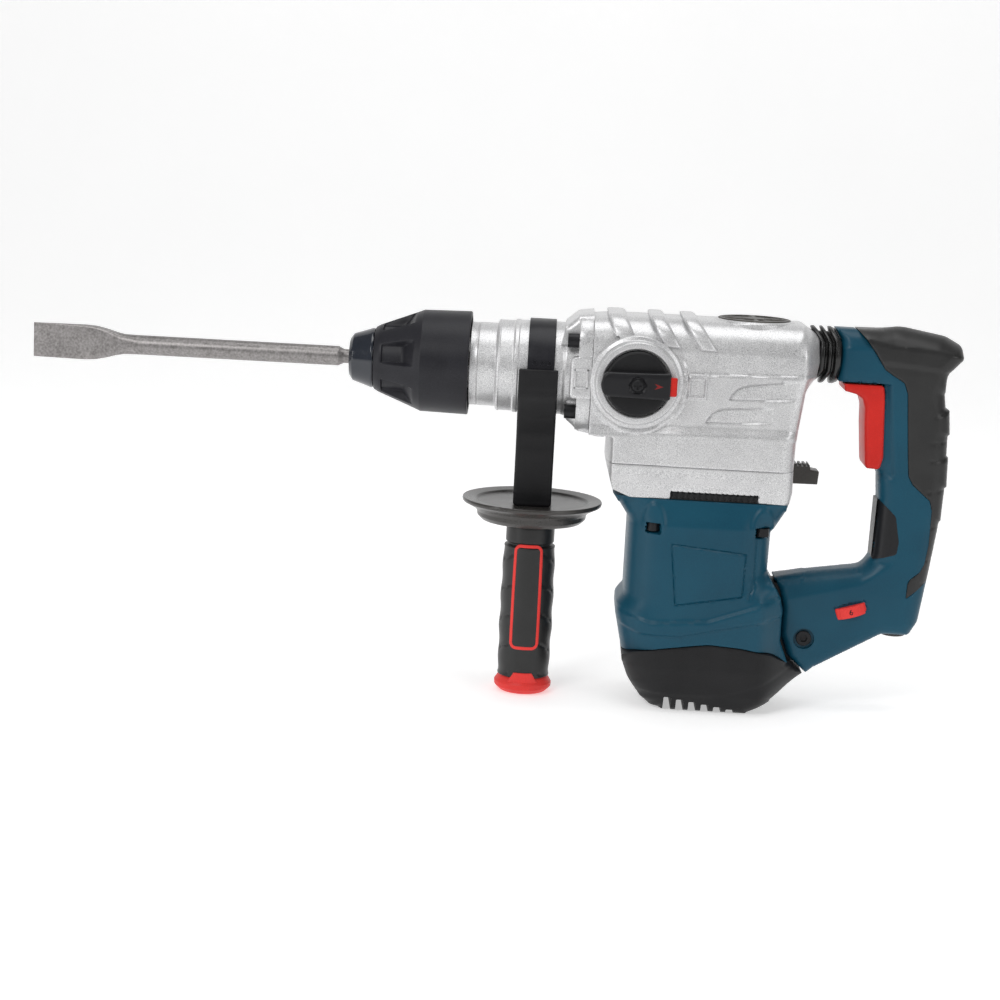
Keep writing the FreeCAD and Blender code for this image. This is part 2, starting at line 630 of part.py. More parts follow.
def tool_holder():
    tube = turning("holder_tube", "X", [
        (-133, 5.1), (-133, 12), (-86, 12), (-86, 15), (-76, 15), (-76, "cylinder_radius"),
        (-45, "cylinder_radius"), (-45, 11.05), (-76, 11.05), (-76, 6.6), (-84, 6.6), (-84, 5.1)])
    keys = [block("drive_key_top", (-125, -2.1, 3.5), (-93, 2.1, 8)),
            block("drive_key_bottom", (-125, -2.1, -8), (-93, 2.1, -3.5))]
    holes = [rod("ball_hole", "Y", 3.6, -20, 20, (BALL_X, 0, 0)), rod("key_bore", "X", 3.4, -140, -80)]
    node("tool_holder", cut("tool_holder", fuse("holder_solid", [tube] + keys), holes))
    balls = []
    for i, y in enumerate((-BALL_Y, BALL_Y)):
        ball = doc.addObject("Part::Sphere", "ball%d" % i)
        bind(ball, "Radius", 3.5)
        move(ball, (BALL_X, y, 0))
        balls.append(ball)
    node("locking_balls", fuse("locking_balls", balls))
    node("nose_cap", turning("nose_cap", "X", [
        (-134.5, 6), (-134.5, 13), (-132.5, 16.5, 2), (-125, 20), (-118, 21.5), (-117, 21), (-117, 12),
        (-133, 12), (-133, 6)]))


FIRST_WINDOW = 18.0  # degrees from straight up to the first window of the sleeve


def locking_sleeve():
    body = turning("sleeve_body", "X", [
        (-116.5, 13), (-116.5, 22), (-113, 24, 3), (-88, 34, 6), (-82, 36.2, 3), (-48.5, 37, 1),
        (-48.5, 33.7), (-78, 33.7), (-84, 29.5), (-96, 23.5), (-96, 12.15), (-104, 12.15), (-104, 13)])
    windows = []
    for i in range(6):
        window = prism("sleeve_window%d" % i, "XZ", [(-112, 22), (-97, 27.6), (-90, 40), (-112, 40)], -10, 10)
        window.Placement = FreeCAD.Placement(V(0, 0, 0), FreeCAD.Rotation(V(1, 0, 0), 60.0 * i + FIRST_WINDOW))
        windows.append(window)
    node("locking_sleeve", cut("locking_sleeve", body, windows))
    node("lock_spring", shaped("lock_spring", spring_shape(16.6, 0.85, 3.9, 4.5, -94.9)))


def spring_shape(radius, wire, pitch, turns, start_x):
    """A coil around the X axis, faceted: 14 stations a turn and a hexagonal wire."""
    stations = int(turns * 14)
    rings = []
    for i in range(stations + 1):
        angle = 2 * math.pi * i / 14
        outward = V(0, math.cos(angle), math.sin(angle))
        centre = outward * radius + V(start_x + pitch * i / 14, 0, 0)
        section = []
        for k in range(6):
            lean = math.pi * k / 3
            section.append(centre + outward * (wire * math.cos(lean)) + V(wire * math.sin(lean), 0, 0))
        rings.append(section)
    faces = []
    for near, far in zip(rings, rings[1:]):
        for k in range(6):
            after = (k + 1) % 6
            faces.append([near[k], near[after], far[after]])
            faces.append([near[k], far[after], far[k]])
    faces.append(rings[0])
    faces.append(rings[-1])
    shell = Part.Shell([Part.Face(Part.makePolygon(corners + corners[:1])) for corners in faces])
    return Part.Solid(shell)


def chisel_bit():
    shaft = turning("bit_shaft", "X", [
        (-305, 0), (-305, "bit_radius"), (-143, "bit_radius"), (-139, "shank_radius"),
        (-85, "shank_radius"), (-84, ("shank_radius", -1)), (-84, 0)])
    outline = prism("bit_outline", "XZ", [
        (-363, -12), (-363, 12.6), (-325, 12.3, 20), (-310, 10, 30), (-298, 7, 20), (-280, 7), (-280, -7),
        (-298, -7, 20), (-310, -10, 30), (-325, -12.3, 20)], -10, 10)
    wedge = prism("bit_wedge", "XY", [
        (-363, -0.6), (-352, -2.6), (-292, -7), (-280, -7), (-280, 7), (-292, 7), (-352, 2.6), (-363, 0.6)],
        -20, 20)
    round_part = cut("bit_round", shaft, [block("bit_trim", (-310, -10, -10), (-290, 10, 10))])
    blade = common("bit_blade", [outline, wedge])
    neck = common("bit_neck", [rod("bit_core", "X", "bit_radius", -300, -285), wedge])
    grooves = []
    for i, y in enumerate((-BALL_Y, BALL_Y)):
        grooves.append(rod("ball_groove%d" % i, "X", 3.85, -112, -88, (0, y, 0)))
    grooves.append(block("key_slot_top", (-134, -2.4, 3.2), (-80, 2.4, 8)))
    grooves.append(block("key_slot_bottom", (-134, -2.4, -8), (-80, 2.4, -3.2)))
    node("chisel_bit", cut("chisel_bit", fuse("bit_solid", [round_part, blade, neck]), grooves))


# ---------------------------------------------------------------- mode knob and rear lever

def mode_knob():
    disc = rod("knob_disc", "Y", 22.6, -53, -44.3, ("knob_x", 0, "knob_z"))
    bar = prism("knob_bar", "XZ", [
        (45, ("knob_z", -9.5), 5), (93, ("knob_z", -9.5), 2), (93, ("knob_z", 9.5), 2),
        (45, ("knob_z", 9.5), 5)], -62, -53)
    shaft = rod("knob_shaft", "Y", 4, -44.3, -34, ("knob_x", 0, "knob_z"))
    slot = block("button_slot", (84, -61.2, ("knob_z", -6.7)), (97, -56.5, ("knob_z", 6.7)))
    seat = rod("screw_seat", "Y", 5, -63, -60.5, ("knob_x", 0, "knob_z"))
    thread = rod("screw_thread", "Y", 2, -63, -50, ("knob_x", 0, "knob_z"))
    node("mode_knob", cut("mode_knob", fuse("knob_solid", [disc, bar, shaft]), [slot, seat, thread]))
    head = rod("knob_screw_head", "Y", 4.9, -62.4, -60.5, ("knob_x", 0, "knob_z"))
    cross = [block("cross_slot_long", (66.5, -64, ("knob_z", -0.7)), (73.5, -61.4, ("knob_z", 0.7))),
             block("cross_slot_tall", (69.3, -64, ("knob_z", -3.5)), (70.7, -61.4, ("knob_z", 3.5)))]
    stem = rod("knob_screw_stem", "Y", 2, -60.5, -50, ("knob_x", 0, "knob_z"))
    node("knob_screw", fuse("knob_screw", [cut("knob_screw_top", head, cross), stem]))
    node("lock_button", block("lock_button", (88, -61, ("knob_z", -6.5)), (97.3, -56.7, ("knob_z", 6.5))))


def rear_lever():
    block_part = prism("lever_block", "XZ", [
        (185.2, -73.5), (207, -73), (207.5, -65), (200, -58.5), (185.2, -58.5)], -8, 8)
    shaft = rod("lever_shaft", "X", 3, 172, 187, (0, 0, -70))
    node("rear_lever", fuse("rear_lever", [block_part, shaft]))


# ---------------------------------------------------------------- rear handle

def handle_outline():
    """The handle's side view, clockwise from the front of its collar."""
    return [
        (217, 40), (240, 40.5, 20), (256, 43, 20), (288, 37.5, 12), (299.5, 31.5, 4), (300.8, 22.5, 3),
        (290, 10.5, 6), (290, -5, 4), (295.8, -24, 20), (297, -68, 20), (293, -120, 30), (284, -168, 6),
        (278, -178.5, 3), (258, -178.5, 3), (212, -205.5), (206, -210.5, 1), (191.5, -198, 4),
        (185.5, -183), (185.5, -162, 8), (183, -150.5, 6), (177.5, -141.5), (200, -137, 20), (240, -131, 8),
        (247, -122, 4), (248.5, -80), (247, -63), (246, -60), (246, -2), (245, 2.8), (217, 2.8)]


def rear_handle():
    outline = handle_outline()
    whole = prism("handle_whole", "XZ", outline, -19, "handle_half")
    rear_region = [
        (216, 60), (224, 39.5), (237, 25, 10), (250, 9.5, 6), (261, 0, 6), (264, -30), (267, -62, 8),
        (285, -80, 8), (285.5, -115, 8), (281, -131, 6), (273, -137, 3), (272.5, -150), (292, -133),
        (320, -133), (320, 60)]
    region = prism("grip_region", "XZ", rear_region, -30, 30)
    inner_outline = [
        (217, 37), (240, 37.5), (256, 40), (287, 34, 9), (295.5, 29, 4), (296.5, 22.5, 4), (286.5, 10.5, 6),
        (286.5, -5), (292, -30), (293.3, -68), (289.5, -120), (287, -130), (250, -145), (200, -145), (200, -4)]
    inner = prism("core_region", "XZ", inner_outline, -16, "core_half")
    skin = common("grip_blank", [whole, region])
    node("rear_grip", cut("rear_grip", skin, [inner]))
    blue = cut("handle_front_part", whole, [region])
    hidden = common("handle_core", [whole, inner])
    solid = fuse("handle_solid", [blue, hidden])
    cavity = prism("grip_cavity", "XZ", [
        (254, -118), (284, -118), (289.5, -68), (288, -30), (282.5, 8), (288, 26), (262, 34), (222, 33),
        (222, 7), (252, 2)], -13, 13)
    arm_cavity = prism("arm_cavity", "XZ", [
        (180, -197.5), (214, -197.5), (252, -172), (262, -168), (274, -168), (276, -146), (240, -141),
        (216, -144), (212, -170), (180, -170)], -13, 13)
    tools = [
        cavity, arm_cavity,
        prism("trigger_side_near", "XZ", [(238, -65), (257, -65, 5), (257, 2.8), (238, 2.8)], -25, -15),
        prism("trigger_side_far", "XZ", [(238, -65), (257, -65, 5), (257, 2.8), (238, 2.8)], 15, 25),
        block("trigger_roof", (238, -25, -5.3), (256, 25, 2.8)),
        rod("pivot_bore", "Y", 4, -30, 30, ("pivot_x", 0, "pivot_z")),
        rod("pivot_recess", "Y", 7.6, -30, -15, ("pivot_x", 0, "pivot_z")),
        rod("pivot_nut_recess", "Y", 7.6, 15, 30, ("pivot_x", 0, "pivot_z")),
        rod("gland_bore", "Z", 6.5, -190, -160, ("inlet_x", 0, 0)),
        dial_wheel("dial_space", 16.6, 7.8)]
    for i, (x, z) in enumerate(HANDLE_SCREWS):
        tools.append(rod("handle_screw_hole%d" % i, "Y", 1.8, -30, 30, (x, 0, z)))
        tools.append(rod("handle_screw_seat%d" % i, "Y", 3.6, -30, -9, (x, 0, z)))
    hollow = cut("handle_hollow", solid, tools)
    near = block("near_half", (150, -60, -250), (330, 0, 80))
    far = block("far_half", (150, 0, -250), (330, 60, 80))
    node("handle_left_shell", common("handle_left_shell", [hollow, near]))
    node("handle_right_shell", common("handle_right_shell", [hollow, far]))
    screws = []
    for i, (x, z) in enumerate(HANDLE_SCREWS):
        screws.append(rod("handle_screw_head%d" % i, "Y", 3.5, -11.5, -9, (x, 0, z)))
        screws.append(rod("handle_screw_shank%d" % i, "Y", 1.8, -9, 14, (x, 0, z)))
    node("handle_screws", fuse("handle_screws", screws))
    bolt = [rod("pivot_shank", "Y", 4, -15, 15, ("pivot_x", 0, "pivot_z")),
            cut("pivot_top", rod("pivot_head", "Y", 5.6, -19, -15, ("pivot_x", 0, "pivot_z")),
                [rod("pivot_socket", "Y", 2.8, -20, -16.5, ("pivot_x", 0, "pivot_z"))]),
            rod("pivot_nut", "Y", 6.4, 15, 19, ("pivot_x", 0, "pivot_z"))]
    node("pivot_bolt", fuse("pivot_bolt", bolt))
    node("switch_body", block("switch_body", (262, -11, -62), (284, 11, -14)))
    node("cable_gland", turning("cable_gland", "Z", [
        ("cable_bore", -181), (6.5, -181), (6.5, -178), (6.5, -161), ("cable_bore", -161)],
        ("inlet_x", 0, 0)))
    node("bellows", turning("bellows", "X", bellows_profile(), (0, 0, 20)))


HANDLE_SCREWS = [(228, -139), (268, -135), (232, 7.5)]


def bellows_profile():
    """Three folds between the housing and the handle."""
    outer = [(199.8, 19)]
    fold = 17.0 / 3
    for i in range(3):
        start = 199.8 + fold * i
        outer += [(start + fold * 0.35, 20.6), (start + fold * 0.65, 20.6), (start + fold * 0.95, 18)]
    return outer + [(216.8, 18.6), (216.8, 14.5), (199.8, 14.5)]


DIAL_TILT = 17.0


def dial_wheel(name, radius, width):
    """A disc square to the arm's edge line, half sunk in the near shell."""
    wheel = doc.addObject("Part::Cylinder", name)
    bind(wheel, "Radius", radius)
    bind(wheel, "Height", width)
    lean = FreeCAD.Rotation(V(0, 1, 0), -DIAL_TILT)
    foot = V(234.0, -5.5, -162.0) - lean.multVec(V(0, 0, width / 2.0))
    wheel.Placement = FreeCAD.Placement(foot, lean)
    return wheel


def controls():
    node("speed_dial", dial_wheel("speed_dial", 16.0, 6.8))
    outside = prism("trigger_outside", "XZ", [
        (217.5, 1.8), (219, -4, 1.5), (226, -5.5, 4), (231, -9, 3), (233, -14, 4), (233.5, -28),
        (236, -56, 2), (239.5, -58.6, 2), (248, -58.6, 2), (249.5, -30), (249, -2, 2), (247, 1.8, 2)],
        -18.6, 18.6)
    inside = prism("trigger_inside", "XZ", [(238.8, -70), (238.8, -15), (232, -6), (232, -4.8), (262, -4.8),
                                            (262, -70)], -15.4, 15.4)
    node("trigger", cut("trigger", outside, [inside]))


# ---------------------------------------------------------------- side handle

def side_handle():
    axis = ("grip_x", 0, 0)
    node("clamp_band", ring("clamp_band", "X", ("collar_radius", 0.06), 34.6, -7, 12))
    saddle = prism("bracket_saddle", "YZ", [
        (-38.6, 2), (-38.6, -18, 8), (-20, -42, 8), (-15, -48, 4), (-15, -99), (15, -99), (15, -48, 4),
        (20, -42, 8), (38.6, -18, 8), (38.6, 2)], -12.5, 15)
    tools = [
        rod("saddle_bore", "X", ("collar_radius", 0.1), -20, 30),
        rod("strap_groove", "X", ("collar_radius", 1.7), -7.2, 12.2),
        rod("bolt_way", "Z", 4, -120, -30, axis),
        rod("bolt_pocket", "Z", 6.6, -52, -30, axis)]
    node("handle_bracket", cut("handle_bracket", saddle, tools))
    node("clamp_bolt", fuse("clamp_bolt", [
        rod("clamp_bolt_head", "Z", 6.5, -52, -46, axis), rod("clamp_bolt_stem", "Z", 4, -170, -52, axis)]))
    node("flange_disc", turning("flange_disc", "Z", [
        (4.06, -114), (18, -114), (39, -112, 2), (39.5, -105), (50.5, -99, 1), (50.5, -95.5, 1),
        (40, -96.5), (38.5, -98.5), (18, -99.4), (4.06, -99.4)], axis))
    node("side_grip", turning("side_grip", "Z", [
        (4.06, -114.2), (17.5, -114.2), (17.5, -127), (16.6, -128), (18.4, -129.5), (19.4, -180, 150),
        (18.2, -226), (4.06, -226)], axis))
    node("grip_end_cap", turning("grip_end_cap", "Z", [
        (0, -226.1), (18.2, -226.1), (21, -231, 2), (19.5, "cap_bottom", 3), (0, "cap_bottom")], axis))


# ---------------------------------------------------------------- build, check and write

for make in (front_barrel, gear_housing, gearbox_base, motor_housing, motor_cap, motor, gear_train,
             crank_drive, tool_holder, locking_sleeve, chisel_bit, mode_knob, rear_lever, rear_handle,
             controls, side_handle):
    make()
doc.recompute()

faults = []
for item in doc.Objects:
    if "Invalid" in item.State or "Error" in item.State:
        faults.append("%s: %s" % (item.Label, item.State))
for item in NODES:
    if item.Shape.isNull() or not item.Shape.isValid() or not item.Shape.Solids:
        faults.append("%s: bad shape" % item.Label)
if faults:
    raise RuntimeError("; ".join(faults))

os.makedirs("parts", exist_ok=True)
for item in NODES:
    item.Shape.exportStep("parts/%s.step" % item.Label)
    print("%-20s solids %d volume %.0f" % (item.Label, len(item.Shape.Solids), item.Shape.Volume))
print(len(NODES), "nodes")
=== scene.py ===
import math

import bmesh
import bpy
import numpy as np
from mathutils import Euler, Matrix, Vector, geometry


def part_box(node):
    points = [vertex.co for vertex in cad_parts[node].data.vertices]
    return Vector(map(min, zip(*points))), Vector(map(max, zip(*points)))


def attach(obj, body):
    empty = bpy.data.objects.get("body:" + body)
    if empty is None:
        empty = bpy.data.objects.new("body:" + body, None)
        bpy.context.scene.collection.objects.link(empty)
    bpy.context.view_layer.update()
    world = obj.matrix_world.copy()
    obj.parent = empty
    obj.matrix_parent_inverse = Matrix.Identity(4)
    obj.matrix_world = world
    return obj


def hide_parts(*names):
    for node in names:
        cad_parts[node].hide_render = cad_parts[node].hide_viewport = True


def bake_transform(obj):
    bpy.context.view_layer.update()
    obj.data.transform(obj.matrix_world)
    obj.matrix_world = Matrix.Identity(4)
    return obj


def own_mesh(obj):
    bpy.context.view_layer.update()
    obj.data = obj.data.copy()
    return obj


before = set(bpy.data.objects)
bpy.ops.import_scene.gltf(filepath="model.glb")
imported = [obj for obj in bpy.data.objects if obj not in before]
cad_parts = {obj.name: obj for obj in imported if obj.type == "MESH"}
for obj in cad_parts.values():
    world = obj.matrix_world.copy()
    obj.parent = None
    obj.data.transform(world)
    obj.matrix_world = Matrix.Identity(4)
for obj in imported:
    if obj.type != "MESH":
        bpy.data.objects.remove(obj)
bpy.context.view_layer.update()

# Lengths below are millimetres in the frame's own axes: the spindle is the X axis, the bit points to
# -X, Z is up and the mode knob is on the -Y side.  MM turns them into metres.
MM = 0.001


def low(node):
    """Lowest corner of a CAD node, in millimetres."""
    return Vector(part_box(node)[0]) / MM


def high(node):
    """Highest corner of a CAD node, in millimetres."""
    return Vector(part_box(node)[1]) / MM


def middle(node):
    """Centre of a CAD node's box, in millimetres."""
    return (low(node) + high(node)) / 2


KNOB = middle("knob_screw")
GRIP_X = middle("side_grip").x
FLOOR_Z = low("motor_cap").z
PIVOT = middle("pivot_bolt")
CAP = middle("oil_cap")
BELLOWS = middle("bellows")
INLET_X = middle("cable_gland").x
HANDLE_HALF = high("handle_right_shell").y
BARREL_BORE = 24
STRAP_RADIUS = 34.9


# ---------- number tools

def ramp(start, end, value):
    """0 before start, 1 after end, smooth between."""
    part = np.clip((np.asarray(value, float) - start) / (end - start), 0, 1)
    return part * part * (3 - 2 * part)


def between(start, end, value, soft=0.8):
    """1 inside a stretch, 0 outside, with soft ends."""
    return ramp(start - soft, start + soft, value) * (1 - ramp(end - soft, end + soft, value))


def along(knots, value):
    """Straight-line interpolation through (place, amount) knots."""
    return np.interp(value, [knot[0] for knot in knots], [knot[1] for knot in knots])


def distance(points, start, end):
    """Distance of each point from one straight piece of a line."""
    way = end - start
    length = max(float(way @ way), 1e-12)
    part = np.clip(((points - start) @ way) / length, 0, 1)
    return np.linalg.norm(points - start - part[:, None] * way, axis=1)


def line_distance(x, z, line):
    """Distance of each point from an open line."""
    points = np.stack([x, z], axis=1)
    spots = np.asarray(line, float)
    return np.min([distance(points, spots[i], spots[i + 1]) for i in range(len(spots) - 1)], axis=0)


def inside(x, z, loop):
    """True for each point inside a closed outline."""
    spots = np.asarray(loop, float)
    after = np.roll(spots, -1, axis=0)
    crossings = np.zeros(len(x), int)
    for (ax, az), (bx, bz) in zip(spots, after):
        if az == bz:
            continue
        spans = (az > z) != (bz > z)
        crossings += spans & (x < (bx - ax) * (z - az) / (bz - az) + ax)
    return crossings % 2 == 1


def patch(x, z, loop, soft=0.8):
    """1 inside a closed outline and 0 outside, with a soft edge."""
    loop = [spot[:2] for spot in loop]
    edge = line_distance(x, z, loop + loop[:1])
    signed = np.where(inside(x, z, loop), edge, -edge)
    return ramp(-soft / 2, soft / 2, signed)


def groove(x, z, line, width, depth):
    """A rounded groove of a width and depth along an open line; negative height."""
    reach = line_distance(x, z, line)
    return -depth * (1 - ramp(0, width / 2, reach))


def rounded(corners, step):
    """Points round a closed outline, and each point's edge radius.

    A corner is (a, b, corner radius, edge radius); a radius that is left out is 0."""
    spots = [np.array(corner[:2], float) for corner in corners]
    radii = [corner[2] if len(corner) > 2 else 0 for corner in corners]
    edges = [corner[3] if len(corner) > 3 else 0 for corner in corners]
    points = []
    rims = []
    count = len(corners)
    for i in range(count):
        back = spots[i - 1] - spots[i]
        ahead = spots[(i + 1) % count] - spots[i]
        back = back / np.linalg.norm(back)
        ahead = ahead / np.linalg.norm(ahead)
        turn = math.acos(max(-1, min(1, float(back @ ahead))))
        if radii[i] and turn < math.pi - 0.01:
            reach = radii[i] / math.tan(turn / 2)
            between_them = (back + ahead) / np.linalg.norm(back + ahead)
            centre = spots[i] + between_them * radii[i] / math.sin(turn / 2)
            arrive = spots[i] + back * reach - centre
            leave = spots[i] + ahead * reach - centre
            sweep = math.pi - turn
            pieces = max(2, int(math.ceil(max(sweep / 0.22, sweep * radii[i] / step))))
            for k in range(pieces + 1):
                part = k / pieces
                spot = arrive * math.sin((1 - part) * sweep) + leave * math.sin(part * sweep)
                points.append(centre + spot / math.sin(sweep))
                rims.append(edges[i - 1] * (1 - part) + edges[i] * part)
        else:
            points.append(spots[i])
            rims.append(edges[i])
    full = []
    full_rims = []
    count = len(points)
    for i in range(count):
        start, end = points[i], points[(i + 1) % count]
        pieces = max(1, int(round(np.linalg.norm(end - start) / step)))
        for k in range(pieces):
            full.append(start + (end - start) * k / pieces)
            full_rims.append(rims[i] + (rims[(i + 1) % count] - rims[i]) * k / pieces
                             if pieces == 1 else rims[i])
    return np.array(full), np.array(full_rims)


def left_of(loop):
    """The unit vector to the left of a closed outline at each of its points."""
    ahead = np.roll(loop, -1, axis=0) - np.roll(loop, 1, axis=0)
    left = np.stack([-ahead[:, 1], ahead[:, 0]], axis=1)
    return left / np.maximum(np.linalg.norm(left, axis=1), 1e-9)[:, None]


def edge_drop(points, loop, rims):
    """How far a rounded edge lies below the flat face at each point."""
    ends = np.roll(loop, -1, axis=0)
    drop = np.zeros(len(points))
    nearest = np.full(len(points), 1e9)
    for start, end, rim in zip(loop, ends, rims):
        reach = distance(points, start, end)
        nearest = np.minimum(nearest, reach)
        if rim > 0:
            under = rim - np.sqrt(np.maximum(rim * rim - (rim - np.minimum(reach, rim)) ** 2, 0))
            drop = np.maximum(drop, under)
    return drop, nearest


# ---------- mesh tools

def build(name, verts, faces, look, sharp=38):
    """A smooth-shaded mesh object from millimetre vertices, closed and facing outwards."""
    mesh = bpy.data.meshes.new(name)
    mesh.from_pydata((np.asarray(verts, float) * MM).tolist(), [], faces)
    work = bmesh.new()
    work.from_mesh(mesh)
    bmesh.ops.remove_doubles(work, verts=work.verts, dist=2e-6)
    bmesh.ops.dissolve_degenerate(work, edges=work.edges, dist=1e-6)
    bmesh.ops.recalc_face_normals(work, faces=work.faces)
    work.to_mesh(mesh)
    work.free()
    mesh.polygons.foreach_set("use_smooth", [True] * len(mesh.polygons))
    mesh.set_sharp_from_angle(angle=math.radians(sharp))
    mesh.materials.append(look)
    item = bpy.data.objects.new(name, mesh)
    bpy.context.collection.objects.link(item)
    return item


def net(rows, columns, closed=True):
    """Faces of a net that closes across its columns, and across its rows too if closed is true."""
    faces = []
    for row in range(rows if closed else rows - 1):
        here = row * columns
        below = (row + 1) % rows * columns
        for k in range(columns):
            after = (k + 1) % columns
            faces.append((here + k, here + after, below + after, below + k))
    return faces


def shifted(item, turn, shift):
    """Turns a piece with a matrix and then moves it by a vector in millimetres."""
    for vert in item.data.vertices:
        vert.co = turn @ vert.co + shift * MM
    return item


def fit(item, body, slot, *nodes):
    """Makes a piece ride on its body and stand for its CAD nodes; the name of its finish is not used."""
    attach(item, body)
    if nodes:
        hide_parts(*nodes)
    return item


def join(items):
    """One object from several."""
    bpy.ops.object.select_all(action="DESELECT")
    for item in items:
        item.select_set(True)
    bpy.context.view_layer.objects.active = items[0]
    bpy.ops.object.join()
    return items[0]


def carve(item, tools):
    """Cuts other pieces out of one and removes them."""
    for tool in tools:
        cutter = item.modifiers.new("carve", "BOOLEAN")
        cutter.operation = "DIFFERENCE"
        cutter.solver = "EXACT"
        cutter.object = tool
    graph = bpy.context.evaluated_depsgraph_get()
    carved = bpy.data.meshes.new_from_object(item.evaluated_get(graph))
    item.modifiers.clear()
    item.data = carved
    carved.polygons.foreach_set("use_smooth", [True] * len(carved.polygons))
    carved.set_sharp_from_angle(angle=math.radians(35))
    for tool in tools:
        bpy.data.objects.remove(tool)
    return item


SWAP = {"XZ": lambda a, b, c: (a, c, b), "YZ": lambda a, b, c: (c, a, b), "XY": lambda a, b, c: (a, b, c)}


def slab(name, corners, near, far, look, step=2, detail=None, around=None, far_rim=None, lines=(),
         plane="XZ"):
    """A shell given by its outline and by two faces across it.

    near and far are the places of the two faces across the outline's plane: numbers or functions of
    the outline's two coordinates.  Each edge is rounded by its corner's edge radius.  detail(a, b)
    gives extra height, out of both faces, or a pair of functions gives it for each face.  around is a
    larger outline whose rounding this one shares, and lines are open lines that get points of their
    own."""
    loop, rims = rounded(corners, step)
    spots = list(loop)
    shapes = [(loop, rims)] + ([around] if around is not None else [])
    extra = []
    for edge, edge_rims in shapes:
        area = np.sum(edge[:, 0] * np.roll(edge[:, 1], -1) - np.roll(edge[:, 0], -1) * edge[:, 1])
        inward = left_of(edge) * (1 if area > 0 else -1)
        for degrees in (14, 28, 42, 57, 73, 90):
            reach = edge_rims * (1 - math.cos(math.radians(degrees)))
            moved = edge + inward * reach[:, None]
            keep = reach > 0.05
            _, near_edge = edge_drop(moved, edge, edge_rims * 0)
            extra.append(moved[keep & (near_edge > reach * 0.96 - 0.02)])
    for line in lines:
        route = np.asarray(line, float)
        for start, end in zip(route, route[1:]):
            way = (end - start) / np.linalg.norm(end - start)
            across = np.array([-way[1], way[0]])
            for k in range(int(np.linalg.norm(end - start) / step) + 1):
                for offset in (-0.9, -0.3, 0.3, 0.9):
                    extra.append((start + way * k * step + across * offset)[None, :])
    (a0, b0), (a1, b1) = loop.min(axis=0), loop.max(axis=0)
    grid_a, grid_b = np.meshgrid(np.arange(a0, a1, step), np.arange(b0, b1, step * 0.87))
    grid_a[1::2] += step / 2
    extra.append(np.stack([grid_a.ravel(), grid_b.ravel()], axis=1))
    extra = np.concatenate(extra)
    _, near_edge = edge_drop(extra, loop, rims * 0)
    extra = extra[inside(extra[:, 0], extra[:, 1], loop) & (near_edge > 0.12)]
    taken = set()
    cell = 0.42 * step
    for spot in extra:
        key = (round(spot[0] / cell), round(spot[1] / cell))
        key_fine = (round(spot[0] / 0.25), round(spot[1] / 0.25), 1)
        reach = key_fine if len(taken) and near_any(spot, loop, step) else key
        if reach not in taken:
            taken.add(reach)
            spots.append(spot)
    ring_edges = [(i, (i + 1) % len(loop)) for i in range(len(loop))]
    made = geometry.delaunay_2d_cdt([Vector(spot) for spot in spots], ring_edges, [list(range(len(loop)))],
                                    1, 1e-5)
    flat = np.array([tuple(v) for v in made[0]])
    triangles = [tuple(face) for face in made[2]]
    drop, _ = edge_drop(flat, loop, rims)
    if around is not None:
        drop = np.maximum(drop, edge_drop(flat, around[0], around[1])[0])
    far_drop = drop if far_rim is None else edge_drop(flat, loop, np.minimum(rims, far_rim))[0]
    a, b = flat[:, 0], flat[:, 1]
    near_face = (near(a, b) if callable(near) else np.full(len(flat), float(near))) + drop
    far_face = (far(a, b) if callable(far) else np.full(len(flat), float(far))) - far_drop
    if detail is not None:
        near_detail, far_detail = detail if isinstance(detail, tuple) else (detail, detail)
        near_face = near_face - (near_detail(a, b) if near_detail else 0)
        far_face = far_face + (far_detail(a, b) if far_detail else 0)
    centre = (near_face + far_face) / 2
    near_face = np.minimum(near_face, centre - 0.02)
    far_face = np.maximum(far_face, centre + 0.02)
    swap = SWAP[plane]
    verts = [swap(p, q, r) for p, q, r in zip(a, b, near_face)]
    verts += [swap(p, q, r) for p, q, r in zip(a, b, far_face)]
    count = len(flat)
    faces = [tuple(face) for face in triangles] + [tuple(i + count for i in reversed(f)) for f in triangles]
    uses = {}
    for face in triangles:
        for i in range(3):
            pair = (face[i], face[(i + 1) % 3])
            uses.setdefault(frozenset(pair), []).append(pair)
    for pairs in uses.values():
        if len(pairs) == 1:
            i, j = pairs[0]
            faces.append((j, i, i + count, j + count))
    return build(name, verts, faces, look)


def near_any(spot, loop, reach):
    """True if a point is close to an outline."""
    gap = loop - spot
    return float((gap * gap).sum(axis=1).min()) < reach * reach


def turned(name, corners, look, axis="X", at=(0, 0, 0), segments=128, detail=None, step=50, sharp=38,
           skin=0):
    """A turned piece.  corners are (along, radius, corner radius); detail(along, angle) adds radius
    wherever the radius is more than skin."""
    loop, _ = rounded(corners, step)
    angles = 2 * math.pi * np.arange(segments) / segments
    places, turns = np.meshgrid(loop[:, 0], angles, indexing="ij")
    radii = np.repeat(loop[:, 1][:, None], segments, axis=1)
    if detail is not None:
        change = detail(places.ravel(), turns.ravel()).reshape(radii.shape)
        radii = np.maximum(radii + change * (radii > skin), 0)
    u, v = radii * np.cos(turns), radii * np.sin(turns)
    order = {"X": (places, u, v), "Y": (u, places, v), "Z": (u, v, places)}[axis]
    verts = np.stack(order, axis=-1).reshape(-1, 3) + np.array(at, float)
    return build(name, verts, net(len(loop), segments), look, sharp)


def rod(name, start, end, radius, look, **rest):
    """A plain round bar with sharp ends."""
    return turned(name, [(start, 0), (start, radius), (end, radius), (end, 0)], look, **rest)


def both(half):
    """The near and far face of a piece that has the same half width on both sides of the mid-plane."""
    return lambda x, z: -half(x, z), half


def framed(left, right, bottom, top):
    """The closed line round a rectangle."""
    return [(left, bottom), (right, bottom), (right, top), (left, top), (left, bottom)]


